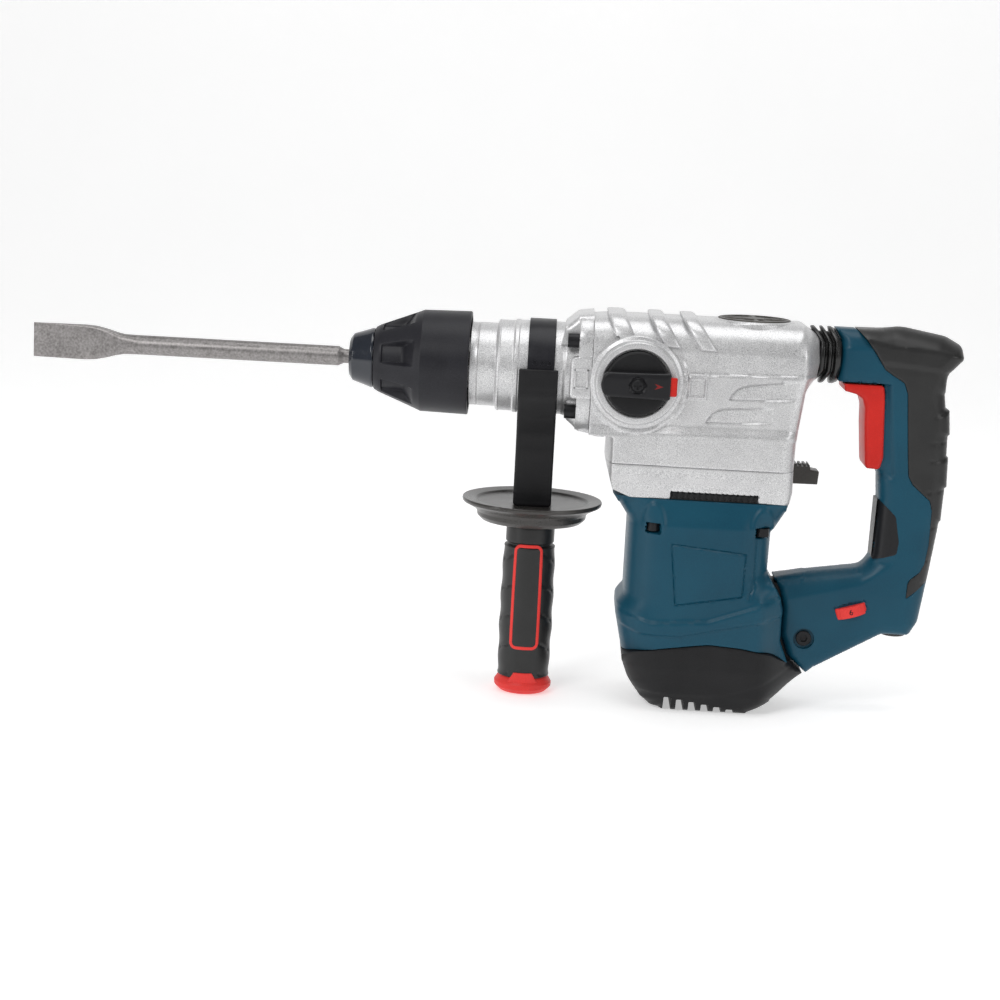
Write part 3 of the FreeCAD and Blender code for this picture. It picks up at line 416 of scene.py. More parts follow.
def brick(name, lowest, highest, look, bevel=0.4):
    """A block with rounded edges."""
    lowest, highest = Vector(lowest), Vector(highest)
    work = bmesh.new()
    bmesh.ops.create_cube(work, size=1)
    size = highest - lowest
    for vert in work.verts:
        vert.co = Vector((vert.co.x * size.x, vert.co.y * size.y, vert.co.z * size.z))
    bmesh.ops.bevel(work, geom=work.edges[:], offset=bevel, segments=3, profile=0.5, affect="EDGES")
    centre = (lowest + highest) / 2
    verts = [tuple(vert.co + centre) for vert in work.verts]
    faces = [[vert.index for vert in face.verts] for face in work.faces]
    work.free()
    return build(name, verts, faces, look)


# ---------- materials

def look(name, dark, light, rough, grain, depth, bump, cloud=60, metal=0, share=0.5, streak=(1, 1, 1),
         glow=0, shine=0.25):
    """A moulded, cast or machined surface.

    dark and light are the two ends of its colour, as a grey or as red, green and blue.  rough is the
    pair of its roughness, grain the fine texture's scale per metre, depth its height in millimetres
    and bump its strength.  cloud is the scale of slow changes, share the part of the colour that
    follows the fine grain, and streak stretches the grain along an axis, as on ground steel."""
    made = bpy.data.materials.new(name)
    made.use_nodes = True
    nodes = made.node_tree.nodes
    wire = made.node_tree.links.new

    def add(kind, **values):
        node = nodes.new("ShaderNode" + kind)
        for key, value in values.items():
            node.inputs[key.replace("_", " ")].default_value = value
        return node
    shader = nodes["Principled BSDF"].inputs
    shader["Metallic"].default_value = metal
    shader["Specular IOR Level"].default_value = shine
    shader["Emission Color"].default_value = (1, 1, 1, 1)
    shader["Emission Strength"].default_value = glow
    place = add("TexCoord").outputs["Object"]
    stretch = add("Mapping", Scale=streak)
    wire(place, stretch.inputs["Vector"])
    fine = add("TexNoise", Scale=grain, Detail=3)
    wire(stretch.outputs["Vector"], fine.inputs["Vector"])
    slow = add("TexNoise", Scale=cloud, Detail=4)
    wire(place, slow.inputs["Vector"])
    mix = add("Mix", Factor=1 - share)
    wire(fine.outputs["Fac"], mix.inputs["A"])
    wire(slow.outputs["Fac"], mix.inputs["B"])
    colours = add("ValToRGB")
    for stop, position, colour in zip(colours.color_ramp.elements, (0.32, 0.68), (dark, light)):
        stop.position = position
        stop.color = (*colour, 1) if isinstance(colour, tuple) else (colour, colour, colour, 1)
    wire(mix.outputs["Result"], colours.inputs["Fac"])
    wire(colours.outputs["Color"], shader["Base Color"])
    polish = add("MapRange", From_Min=0.3, From_Max=0.7, To_Min=rough[0], To_Max=rough[1])
    wire(mix.outputs["Result"], polish.inputs["Value"])
    wire(polish.outputs["Result"], shader["Roughness"])
    relief = add("Bump", Strength=bump, Distance=depth * MM)
    wire(fine.outputs["Fac"], relief.inputs["Height"])
    wire(relief.outputs["Normal"], shader["Normal"])
    return made


CAST = look("cast_alloy", (0.35, 0.35, 0.36), 0.84, (0.26, 0.44), 1900, 0.1, 0.5, metal=0.5, share=0.86,
            shine=0.5)
BLUE = look("blue_nylon", (0.003, 0.048, 0.083), (0.0055, 0.07, 0.115), (0.32, 0.42), 1600, 0.04, 0.3, 25)
BLACK = look("black_nylon", (0.006, 0.006, 0.007), (0.013, 0.013, 0.014), (0.4, 0.52), 1500, 0.08, 0.35,
             40)
RUBBER = look("soft_rubber", 0.011, 0.021, (0.32, 0.42), 2200, 0.04, 0.35, 50, shine=0.4)
GLOSSY_RUBBER = look("glossy_rubber", 0.006, 0.012, (0.2, 0.3), 900, 0.05, 0.25, 50, shine=0.5)
KNOB_GREY = look("knob_bar_nylon", (0.006, 0.006, 0.007), (0.012, 0.012, 0.014), (0.32, 0.42), 1500, 0.06,
                 0.3, 40, shine=0.3)
# The guard disc's black rubber, lighter than the grip's rubber: the extra lightness is a painted sheen for
# the grazing reflection on the disc's top.
GUARD_PAINTED_SHEEN = look("guard_rubber_painted_sheen", (0.026, 0.024, 0.022), (0.046, 0.042, 0.039), (0.24, 0.34), 1400, 0.04, 0.35,
             50, shine=0.5)
LEVER = look("lever_nylon", (0.022, 0.02, 0.018), (0.044, 0.04, 0.036), (0.3, 0.4), 1300, 0.06, 0.4,
             shine=0.4)
SLEEVE = look("sleeve_nylon", (0.01, 0.01, 0.013), (0.022, 0.022, 0.027), (0.36, 0.48), 1300, 0.05, 0.35,
              35)
NOSE = look("nose_gloss", (0.008, 0.011, 0.018), (0.014, 0.018, 0.027), (0.1, 0.16), 700, 0.03, 0.12, 40,
            shine=0.7)
RED = look("red_nylon", (0.46, 0.012, 0.008), (0.62, 0.02, 0.013), (0.34, 0.44), 1500, 0.06, 0.25, 40)
RED_DIM = look("red_mark", (0.16, 0.01, 0.01), (0.24, 0.016, 0.014), (0.4, 0.5), 1500, 0.03, 0.2, 40)
# The soft red of the end cap and the grip's frame. On the speed dial its lighter colour is painted light
# over the shade of the dial's slot.
RED_SOFT_AND_DIAL_LIGHT = look("red_soft_and_dial_light", (0.66, 0.034, 0.03), (0.84, 0.052, 0.044), (0.38, 0.5), 1500, 0.06, 0.25, 40)
BIT = look("forged_steel", (0.17, 0.16, 0.157), (0.35, 0.335, 0.33), (0.34, 0.5), 600, 0.22, 0.5, 120,
           metal=0.8, share=0.75, shine=0.5)
STEEL = look("machined_steel", (0.4, 0.4, 0.41), (0.62, 0.62, 0.63), (0.22, 0.34), 900, 0.03, 0.2,
             metal=1, streak=(1, 14, 1))
BALL = look("bearing_steel", (0.6, 0.6, 0.62), (0.78, 0.78, 0.8), (0.1, 0.18), 900, 0.02, 0.1, metal=1)
SCREW = look("black_oxide", (0.01, 0.01, 0.011), (0.024, 0.024, 0.026), (0.3, 0.42), 1200, 0.05, 0.3, 80,
             metal=0.4)
STRAP = look("painted_strap", (0.009, 0.009, 0.012), (0.019, 0.019, 0.023), (0.28, 0.4), 900, 0.05, 0.25,
             50, metal=0.1)
LAMINATE = look("laminations", (0.1, 0.1, 0.11), (0.24, 0.24, 0.25), (0.4, 0.55), 500, 0.1, 0.4,
                metal=0.8, streak=(0.1, 0.1, 8))
COPPER = look("enamelled_copper", (0.42, 0.17, 0.07), (0.7, 0.33, 0.15), (0.25, 0.4), 700, 0.1, 0.5,
              metal=0.9)
CARBON = look("carbon", 0.02, 0.05, (0.5, 0.65), 1800, 0.08, 0.4)
BRONZE = look("cap_finish", (0.04, 0.037, 0.033), (0.085, 0.08, 0.072), (0.34, 0.46), 900, 0.12, 0.45,
              metal=0.4)
FLOOR = look("pale_floor", 0.8, 0.84, (0.6, 0.7), 400, 0.02, 0.05, 3, glow=0.45)


# ---------- bit, nose and sleeve

def chisel():
    """The flat chisel: a round shaft that grows into a wide blade, with its SDS-plus shank."""
    wide = [(-363, 12.2), (-326, 12.4), (-318, 11.9), (-310, 10.2), (-303, 8.2), (-297, 7.1), (-290, 7),
            (-143, 7), (-139, 5), (-85, 5), (-84, 4.2)]
    thick = [(-363, 0.55), (-350, 2.1), (-325, 4.1), (-300, 6.3), (-288, 7), (-143, 7), (-139, 5),
             (-85, 5), (-84, 4.2)]
    square = [(-363, 14), (-320, 9), (-300, 3.2), (-286, 2), (-84, 2)]
    places = np.concatenate([np.linspace(-363, -284, 60), np.linspace(-280, -145, 30),
                             [-143.6, -143, -142.4, -139.2, -138.6], np.linspace(-136, -86, 12),
                             [-85, -84]])
    around = 96
    verts = []
    for x in places:
        half_z, half_y, power = along(wide, x), along(thick, x), along(square, x)
        for k in range(around):
            angle = 2 * math.pi * k / around
            c, s = math.cos(angle), math.sin(angle)
            verts.append((x, math.copysign(abs(c) ** (2 / power), c) * half_y,
                          math.copysign(abs(s) ** (2 / power), s) * half_z))
    faces = net(len(places), around, closed=False)
    faces.append(tuple(range(around)))
    faces.append(tuple(reversed(range(len(verts) - around, len(verts)))))
    fit(build("chisel", verts, faces, BIT, sharp=30), "bit", "bit_steel", "chisel_bit")


def sleeve():
    """The locking sleeve with its six shallow windows, and the dust cap ahead of it."""
    def windows(x, angle):
        turn = ((angle - math.radians(46)) / (math.pi / 3) + 0.5) % 1
        off = (turn - 0.5) * (math.pi / 3)
        radius = along([(-113, 24), (-88, 34)], x)
        half = along([(-112, 7), (-88, 9.8)], x)
        side = 1 - ramp(half - 1.6, half + 0.4, np.abs(off) * radius)
        deep = along([(-111, 0), (-110, 2.2), (-97, 6.2), (-95, 6.2), (-87.6, 0)], x)
        return -deep * side
    body = turned("sleeve", [
        (-116.5, 13), (-116.5, 22.2, 0.8), (-113.5, 24, 1.5), (-88, 34, 2.5), (-83.2, 36, 0.6),
        (-82.6, 36.3, 0.4), (-48.5, 37, 0.8), (-48.5, 33.7, 0.4), (-78, 33.7), (-84, 29.5), (-96, 23.5),
        (-96, 12.15), (-104, 12.15), (-104, 13)], SLEEVE, segments=420, detail=windows, step=0.9, sharp=26,
        skin=23.9)
    fit(body, "locking_sleeve", "sleeve_plastic", "locking_sleeve")
    cap = turned("nose", [
        (-134.5, 6, 0.5), (-134.5, 13.4, 1), (-132, 16.9, 1.2), (-125, 19.2, 3), (-118.4, 21.5, 0.8),
        (-117, 21, 0.3), (-117, 12), (-133, 12), (-133, 6, 0.4)], NOSE, segments=160, step=2)
    fit(cap, "spindle", "nose_rubber", "nose_cap")


# ---------- castings

def barrel():
    """The front barrel: a turned neck with a rough strip, the collar and the bolted flange."""
    def knurl(x, angle):
        strip = between(-47.5, -43.4, x, 0.4)
        return -0.35 * strip * (0.5 + 0.5 * np.sin(angle * 90))
    neck = turned("barrel", [
        (-48, BARREL_BORE), (-48, 29.4, 0.4), (-47.6, 29.8, 0.3), (-43, 29.8), (-42.6, 29.3, 0.2),
        (-42, 29.8, 0.3), (-29.6, 29.8, 0.6), (-28.6, 32.2, 0.8), (-27.4, 32.9, 0.6), (-26.6, 32.4, 0.6),
        (-17.4, 32.4, 0.5), (-16.4, 33.5, 0.5), (-14, 33.5, 0.5), (-13.4, 33, 0.3), (18, 33, 0.5),
        (20, 33.8, 1), (29, 34),
        (36, 34), (36, BARREL_BORE)], CAST, segments=180, detail=knurl, step=1.2, skin=29.5)
    outline = [(-40, -41, 20, 0.8), (40, -41, 20, 0.8), (40, 40.5, 20, 0.8), (-40, 40.5, 20, 0.8)]
    flange = slab("barrel_flange", outline, 28.5, 38.4, CAST, plane="YZ", step=3)
    hump = slab("barrel_hump", [
        (16, 20), (19, 33, 2, 5), (28, 40.6, 5, 7), (38.4, 42, 0, 0.5), (38.4, 20)], -30, 30, CAST)
    lower = slab("barrel_web", [
        (38.4, -20), (38.4, -42, 0, 0.5), (30, -41, 3, 7), (21, -33, 3, 6), (18, -20)], -28, 28, CAST)
    cheek = slab("barrel_cheek", [
        (23, -17, 4, 3), (38.4, -18, 0, 0.5), (38.4, 14, 0, 0.5), (23, 12, 4, 3)], -40.4, 40.4, CAST)
    (left, right), (bottom, top) = HAMMER_PAD
    bars = ((left, right, bottom, bottom + 1.6), (left, right, top - 1.6, top),
            (left, left + 1.6, bottom, top), (right - 1.6, right, bottom, top))
    frame_bars = [brick("pad", (x0, -41.6, z0), (x1, -40, z1), CAST) for x0, x1, z0, z1 in bars]
    bored = []
    for part in (flange, hump, lower, cheek):
        bore = rod("barrel_bore", 10, 45, BARREL_BORE, CAST, segments=96)
        bored.append(carve(part, [bore]))
    fit(join([neck] + bored + frame_bars), "housing", "cast_alloy", "front_barrel")


# Each raised rib: its left edge, its right edge, their lean with depth, and the height of its foot.
RIBS = [(47, 60.5, 0.46, 29), (76, 87.5, 0.6, 23), (99, 110.5, 0.68, 22)]
LEAVES = [
    [(135.5, -11.5), (137, -7.5), (140, -4.2), (144, -2), (149, -0.6), (172, 2.4), (184, 3.4), (184, -9.5),
     (160, -11)],
    [(120, -28.5), (121.5, -25), (124.5, -21.4), (128.5, -19), (134, -17.8), (158, -16.4), (166, -16.2),
     (166, -26.6), (145, -27.8)]]
HAMMER_PAD = ((26, 36.2), (-9.5, 4.5))
DRILL_PAD = ((106, 119), (-12, 4))


def top_ribs():
    """The slanting ribs that run over the top of the gear housing and down both of its sides."""
    ribs = []
    for left, right, lean, foot in RIBS:
        def near(y, z, left=left, lean=lean):
            return left + np.maximum(43 - z, 0) * lean

        def far(y, z, right=right, lean=lean):
            return right + np.maximum(43 - z, 0) * lean
        ribs.append(slab("rib%d" % left, [
            (-36, foot, 0, 0.4), (-42.2, foot, 1.5, 2.4), (-42.2, 43.4, 19, 2.4), (42.2, 43.4, 19, 2.4),
            (42.2, foot, 1.5, 0.4), (36, foot), (34, 34), (18, 38), (-18, 38), (-34, 34)],
            near, far, CAST, plane="YZ", step=1.3))
    return ribs


def housing_relief(x, z):
    """Steps and leaf-shaped hollows on the sides of the gear housing."""
    raised = np.zeros(len(x))
    step_line = along([(95, 3), (101, 4.5), (185, 7)], x)
    raised += 1.4 * ramp(-0.9, 0.9, step_line - z) * ramp(84, 106, x)
    crease = along([(60, -36.5), (95, -34), (180, -33)], x)
    raised += 2.6 * ramp(-2.4, 4.2, crease - z) * (1 - 0.5 * ramp(174, 184, x))
    for leaf in LEAVES:
        fade = 1 - ramp(leaf[0][0] + 30, leaf[0][0] + 52, x)
        raised -= 1.9 * patch(x, z, leaf, 1.4) * fade
        raised += groove(x, z, leaf[-1:] + leaf[:6], 1.6, 0.9) * fade
    return raised


def knob_side(x, z):
    """The selector's icon pads and its wide foot, on the knob's side only."""
    raised = housing_relief(x, z)
    foot = np.hypot(x - KNOB.x, z - KNOB.z)
    raised = raised + 1.6 * (1 - ramp(35, 36.5, foot)) * (1 - ramp(8, 18, z))
    (left, right), (bottom, top) = DRILL_PAD
    pad = between(left, right, x, 0.5) * between(bottom, top, z, 0.5)
    middle_pad = between(left + 1.6, right - 1.6, x, 0.4) * between(bottom + 1.6, top - 1.6, z, 0.4)
    raised = raised + 2.2 * pad - 1.5 * middle_pad
    bridge = between(98, 106, x, 0.6) * between(-10, -1, z, 0.6)
    return raised + bridge


# Where the round front of the skirt starts, how far it reaches, and the places of its mesh lines.
SKIRT_FRONT = 57.2
SKIRT_REACH = 5.8
SKIRT_LINES = (SKIRT_FRONT, 53.6, 52.2)


def front_curve(x, z):
    """The share of the half width that is left where the front of the skirt curves round."""
    away = np.clip((SKIRT_FRONT - x) / SKIRT_REACH, 0, 0.97)
    return 1 - (1 - np.sqrt(1 - away * away)) * ramp(-42, -44, z)


def gear_case():
    """The main casting, its selector ring and the corners of its rear wall."""
    corners = [
        (38.5, 39.6, 0, 17), (60, 41.4, 30, 22), (186, 41.4, 5, 22), (197.5, 34, 6, 16),
        (199.4, 20, 20, 12), (197, 5, 5, 10), (189, -1.5, 12, 9), (184.5, -40, 0, 10),
        (184, -60.4, 0, 0.7), (51.5, -60.4, 0, 0.7), (52, -43.5, 5, 0.7), (38.5, -41, 0, 0.7)]

    def half(x, z):
        upper = 39.6 - ramp(20, 42, z)
        rear = 1 - 0.3 * ramp(186, 199, x) * ramp(-4, 3, z)
        return upper * rear * front_curve(x, z)
    edges = [leaf + leaf[:1] for leaf in LEAVES]
    edges += [[(x, -44), (x, -60)] for x in SKIRT_LINES]
    (left, right), (bottom, top) = DRILL_PAD
    for inset in (0, 1.6):
        edges.append(framed(left + inset, right - inset, bottom + inset, top - inset))
    body = slab("gear_case", corners, *both(half), CAST, step=1.2,
                detail=(knob_side, housing_relief), lines=edges)
    centre = (KNOB.x, 0, KNOB.z)
    ring = turned("selector_ring", [
        (-36, 23.5), (-36, 33), (-43.5, 32.6, 1.5), (-44.5, 29.6, 1), (-49.2, 28.8, 1),
        (-50, 27.9, 0.6), (-50, 24.4, 0.5), (-49, 23.5, 0.3), (-44, 23.5)], CAST, axis="Y", at=centre,
        segments=160, step=2)
    drum = rod("selector_floor", -44.2, -38, 23.7, CAST, axis="Y", at=centre, segments=96)
    seat = turned("filler_seat", [
        (30, 24), (30, 29.8), (41, 29.4, 1.6), (42.2, 27.4, 0.5), (42.2, 24)], CAST, axis="Z",
        at=(CAP.x, 0, 0), segments=120, step=3)
    fit(join([body, ring, drum, seat] + top_ribs()), "housing", "cast_alloy", "gear_housing")


def base_case():
    """The lower casting that carries the bearings, with its vent windows."""
    corners = [
        (51.5, -60.6, 0, 0.7), (184, -60.6, 0, 9), (184.5, -76, 6, 9), (183, -83.8, 2, 0.8),
        (70, -83.9, 6, 0.8), (57.5, -79, 3, 0.8)]

    def half(x, z):
        return along([(-84, 40.8), (-60, 42.2)], z) * front_curve(x, z)

    def vents(x, z):
        return -7 * between(98.5, 160, x, 0.4) * (1 - ramp(-78.9, -78.1, z))
    edges = [[(98.5, -84), (98.5, -78.5), (160, -78.5), (160, -84)]]
    edges += [[(x, -61), (x, foot)] for x, foot in zip(SKIRT_LINES, (-79, -72, -70))]
    body = slab("base_case", corners, *both(half), CAST, step=1.5, detail=vents, lines=edges)
    fit(body, "housing", "cast_alloy", "gearbox_base")
    grilles = []
    for hand, face in ((-1, -40), (1, 37)):
        def slats(x, z):
            return -1.2 * (0.5 + 0.5 * np.cos((x - 99) * 2 * math.pi / 4.2)) * between(-83, -79.4, z, 0.3)
        grilles.append(slab("grille%d" % hand, [
            (98.7, -83.9, 0, 0.2), (159.8, -83.9, 0, 0.2), (159.8, -78.7, 0, 0.2), (98.7, -78.7, 0, 0.2)],
            face, face + 3, BLACK, step=0.8, detail=(slats, None) if hand < 0 else (None, slats)))
    fit(join(grilles), "housing", "black_plastic", "vent_grille")


# ---------- motor housing and cap

PANEL = [(101.5, -115), (154, -119.5), (153, -150), (106.5, -158.5)]
LOW_CREASE = [(66, -176), (83, -181), (110, -181), (140, -174), (183, -165)]
HIGH_CREASE = [(68, -167), (90, -172), (130, -169), (183, -150)]
# The two case screws of each side, and the window in the housing that each stands in.
SCREW_SPOTS = (88, 165)
WINDOW_HALF = 4.8
WINDOW_LOW, WINDOW_HIGH = -108, -101


def motor_relief(x, z):
    """The raised panel, the screw windows and the creases on the sides of the motor housing."""
    raised = np.zeros(len(x))
    raised += 0.9 * patch(x, z, PANEL, 1)
    raised += groove(x, z, PANEL + PANEL[:1], 1.6, 0.9)
    raised += groove(x, z, [(161.5, -108), (161.5, -141), (158, -151)], 3.4, 1.3)
    for centre in SCREW_SPOTS:
        boss = 1 - ramp(0.8, 1.1, np.hypot((x - centre) / 8.4, (z - WINDOW_HIGH) / 15))
        raised += 1.8 * boss * ramp(WINDOW_LOW, WINDOW_HIGH - 1, z)
        window = between(centre - WINDOW_HALF, centre + WINDOW_HALF, x, 0.5)
        raised -= 6.5 * window * between(WINDOW_LOW, WINDOW_HIGH, z, 0.5)
    raised += 2.2 * ramp(-1.4, 1.4, along(HIGH_CREASE, x) - z)
    raised -= 2.4 * ramp(-1.2, 1.2, along(LOW_CREASE, x) - z)
    return raised


def motor_case():
    """The blue motor housing."""
    corners = [
        (58.5, -84.1, 0, 18), (63.5, -91, 8, 26), (70.5, -101, 8, 30), (70.5, -156, 4, 30),
        (65.2, -163, 4, 30), (65.2, -171, 6, 30), (71, -197.4, 0, 0.6), (80, -194, 0, 0.6),
        (102, -190.4, 40, 0.6), (132, -186, 40, 0.6), (155, -187.6, 40, 0.6), (176, -191, 20, 0.6),
        (190.2, -199.7, 0, 3), (184, -184, 4, 3), (183.9, -161, 6, 3), (181.6, -151.4, 6, 4),
        (175.8, -142.6, 2, 8), (171.8, -136, 6, 26), (172, -120, 8, 26), (172.3, -105, 6, 20),
        (181, -91.5, 5, 14), (183, -84.1, 0, 0.7)]

    def half(x, z):
        body = along([(-200, 46.5), (-165, 47), (-102, 47), (-92, 44), (-84, 42)], z)
        lean = ramp(165, 186, x) * ramp(-140, -155, z)
        return body - 14 * lean
    edges = [PANEL + PANEL[:1]]
    for centre in SCREW_SPOTS:
        left, right = centre - WINDOW_HALF, centre + WINDOW_HALF
        edges.append([(left, WINDOW_LOW), (left, WINDOW_HIGH), (right, WINDOW_HIGH), (right, WINDOW_LOW),
                      (left, WINDOW_LOW)])
    body = slab("motor_case", corners, *both(half), BLUE, step=1.5, detail=motor_relief, lines=edges)
    lug = slab("pivot_lug", [
        (178, -194, 0, 0.5), (206, -194, 8, 0.5), (210, -184, 6, 0.5), (206, -174, 8, 0.5),
        (178, -174, 0, 0.5)], -10.5, 10.5, BLUE, step=4)
    fit(join([body, lug]), "housing", "blue_plastic", "motor_housing")
    # Painted shadow: a black wall set in the gap between the motor housing and the handle arm, standing in
    # for the shade in that gap.
    seam = slab("seam_painted_shade", [
        (168, -145.2, 0, 0.3), (180.5, -145.2, 2, 0.3), (188, -151, 4, 0.3), (190, -162, 6, 0.3),
        (190, -182, 6, 0.3), (196, -196.5, 4, 0.3), (200, -201.5, 2, 0.3), (190, -202, 0, 0.3),
        (172, -196, 0, 0.3)], -11.6, 11.6, BLACK, step=3)
    fit(seam, "housing", "black_plastic")
    heads = []
    for x, foot_x in zip(SCREW_SPOTS, (99, 160)):
        for y in (-39.5, 39.5):
            case = [(-107, 0), (-107, 4.4, 0.8), (-101, 4.4), (-101, 0)]
            foot = [(-237.6, 0), (-237.6, 3.4, 0.8), (-228, 3.4), (-228, 0)]
            for profile, at in ((case, (x, y, 0)), (foot, (foot_x, y * 0.6, 0))):
                heads.append(turned("case_screw", profile, SCREW, axis="Z", at=at, segments=32, step=2))
    fit(join(heads), "housing", "black_screws", "motor_screws")
    corners = [
        (71.1, -198, 0, 0.6), (72, -206, 3, 26), (76.5, -218, 8, 24), (84, -229, 10, 18), (92, -236, 5, 12),
        (100, -237.9, 4, 5), (163, -237.9, 4, 8), (180, -229, 10, 12), (204.4, -211.4, 1.5, 5),
        (190.8, -200.2, 0, 0.6), (176, -191.5, 20, 0.6), (155, -188.1, 40, 0.6),
        (132, -186.5, 40, 0.6), (102, -190.9, 40, 0.6), (80, -194.5, 0, 0.6)]

    def cap_half(x, z):
        body = along([(-238, 38), (-224, 44), (-206, 46.5), (-199, 46.5)], z)
        return body - 26 * ramp(168, 204, x)

    def cap_relief(x, z):
        return -0.8 * ramp(-0.5, 0.8, -224 + 0.3 * (x - 122) * ramp(122, 200, x) - z)
    cap = slab("motor_foot", corners, *both(cap_half), BLACK, step=1.8, detail=cap_relief)
    teeth = []
    for i in range(6):
        left = 103 + 9 * i
        teeth.append(brick("slot%d" % i, (left, -60, -246), (left + 5.6, 60, -227 - 1.5 * i), BLACK, 0.8))
    fit(carve(cap, teeth), "housing", "black_plastic", "motor_cap")


# ---------- mode knob, lever and oil cap

def knob():
    """The mode knob: a disc with a raised bar, its screw, the red arrow and the red lock button."""
    x, z = KNOB.x, KNOB.z

    def bar_face(a, b):
        well = 1.3 * (1 - ramp(5.4, 6, np.hypot(a - x, b - z)))
        fold = along([(x - 26, z + 4.5), (x - 8, z + 4), (x - 2, z + 6.4), (x + 22, z + 5.6)], a)
        return -well - 0.16 * np.maximum(b - fold, 0)
    disc = turned("knob_disc", [
        (-44.4, 0), (-44.4, 22.5, 0.4), (-52, 22.5, 1.4), (-53, 21, 0.6), (-53, 0)], BLACK, axis="Y",
        at=(x, 0, z), segments=144, step=3)
    bar = slab("knob_bar", [
        (x - 23.2, z - 8.4, 5, 1.4), (x - 25.4, z - 1, 8, 1.4), (x - 23.2, z + 8.2, 5, 1.4),
        (x + 22.8, z + 9.2, 1.6, 1.2), (x + 22.8, z - 9.2, 1.6, 1.2)], -62, -52.5, KNOB_GREY, step=1.2,
        far_rim=0.2, detail=(bar_face, None))
    slot = brick("button_gap", (x + 13.8, -61.3, z - 6.7), (x + 30, -56.4, z + 6.7), BLACK, 0.1)
    fit(join([disc, carve(bar, [slot])]), "mode_knob", "black_plastic", "mode_knob")
    arrow_corners = [(x + a, z + b, 0, 0.1) for a, b in ((11.6, -2.1), (17.6, 0), (11.6, 2.1), (13.6, 0))]
    arrow = slab("knob_arrow", arrow_corners, -62.12, -61.6, RED_DIM, step=1)
    fit(arrow, "mode_knob", "red_plastic")
    head = turned("knob_screw_head", [
        (-62.3, 0), (-62.3, 3.2, 0.8), (-61, 4.7, 0.3), (-60.6, 4.7), (-60.6, 0)], SCREW, axis="Y",
        at=(x, 0, z), segments=64, step=1)
    cross = [brick("cross_a", (x - 3, -64, z - 0.7), (x + 3, -61.4, z + 0.7), SCREW, 0.1),
             brick("cross_b", (x - 0.7, -64, z - 3), (x + 0.7, -61.4, z + 3), SCREW, 0.1)]
    fit(carve(head, cross), "mode_knob", "black_screws", "knob_screw")
    button_low, button_high = low("lock_button"), high("lock_button")
    button = slab("lock_button_cap", [
        (button_low.x, button_low.z, 0.6, 0.5), (button_high.x, button_low.z, 1.2, 0.9),
        (button_high.x, button_high.z, 1.2, 0.9), (button_low.x, button_high.z, 0.6, 0.5)],
        button_low.y, button_high.y, RED, step=0.8,
        detail=(lambda a, b: -0.3 * (0.5 + 0.5 * np.cos((a - button_low.x) * 2.6)), None))
    fit(button, "lock_button", "red_plastic", "lock_button")
    lever = slab("lever", [
        (185.4, -73.2, 0.6, 0.8), (204.6, -73, 0.8, 0.8), (205.2, -63.6, 0.6, 0.8), (199, -62.6, 0.8, 0.6),
        (198, -58.7, 1, 0.8), (185.4, -58.7, 0.6, 0.8)], -8, 8, LEVER, step=1)
    notches = [brick("notch%d" % i, (189 + 3.2 * i, -10, -60.4), (190.6 + 3.2 * i, 10, -57), LEVER, 0.2)
               for i in range(3)]
    shaft = rod("lever_shaft", 173, 187, 3, LEVER, at=(0, 0, -70), segments=32)
    fit(join([carve(lever, notches), shaft]), "rear_lever", "black_plastic", "rear_lever")


def filler_cap():
    """The oil cap: a low disc with a rim, a raised star web and spanner slots."""
    def pattern(x, y):
        reach = np.hypot(x - CAP.x, y)
        turn = np.arctan2(y, x - CAP.x)
        dish = -ramp(22.6, 22, reach)
        hub = 1 - ramp(7.5, 8.3, reach)
        web = (1 - ramp(21.5, 22.4, reach)) * ramp(6, 8, reach)
        return dish + np.maximum(hub, 0.9 * ramp(0.86, 0.93, np.cos(turn * 4)) * web)
    ring_corners = []
    for i in range(24):
        angle = 2 * math.pi * i / 24
        ring_corners.append((CAP.x + 26.2 * math.cos(angle), 26.2 * math.sin(angle), 40, 0.9))
    lid = slab("filler_cap", ring_corners, 37.2, 43, BRONZE, plane="XY", step=1.3,
               detail=(None, pattern), far_rim=0.9)
    fit(lid, "housing", "cap_bronze", "oil_cap")


# ---------- rear handle

HANDLE = [
    (209, 40, 0.5, 7), (240, 40.5, 30, 8), (256, 43, 30, 10), (288, 37.5, 14, 12), (299.3, 31.5, 5, 10),
    (300.6, 22.5, 4, 9), (290, 11, 8, 9), (289.6, -2, 6, 12), (291.2, -13, 1, 12), (294.2, -14.5, 1, 12),
    (295.8, -31.5, 1, 12), (294.4, -33, 1, 12), (294.8, -47, 1, 12), (296.2, -48.5, 1, 12),
    (296.8, -69.5, 1, 12), (295.4, -70.5, 1, 12), (294.6, -94, 1, 12), (293.5, -95, 1, 12),
    (290.5, -120, 20, 12), (284, -168, 8, 10), (278, -178.4, 4, 7), (258, -178.4, 5, 7),
    (212, -205.4, 4, 8), (206, -210.4, 1.5, 6), (191.6, -198, 5, 6), (185.6, -183, 5, 5),
    (185.6, -162, 9, 5), (183.2, -150.5, 8, 6), (177.8, -141.6, 1, 7), (200, -137, 30, 9),
    (240, -131, 10, 11), (247, -122, 6, 12), (248.5, -80, 20, 12), (247, -63, 3, 8), (246, -60, 1, 1),
    (246, -2, 1, 1), (245, 2.9, 1, 1), (213, 2.9, 0.5, 7), (213.6, 32, 4, 7)]
GRIP_EDGE = [
    (224, 39.8), (230, 34), (237, 25), (245, 13), (251, 9.2), (259, 4.5), (262, -3), (263.5, -20),
    (266, -48), (267.5, -62), (271, -68), (284, -79), (286, -86), (286, -112), (284, -125),
    (281, -131), (274.5, -136.5), (273, -140), (272.6, -150.5)]
DIAL_SLOT = [(222, -159.8), (243.5, -153.2), (246.6, -160.6), (225, -167.2)]
DIAL_TILT = -17


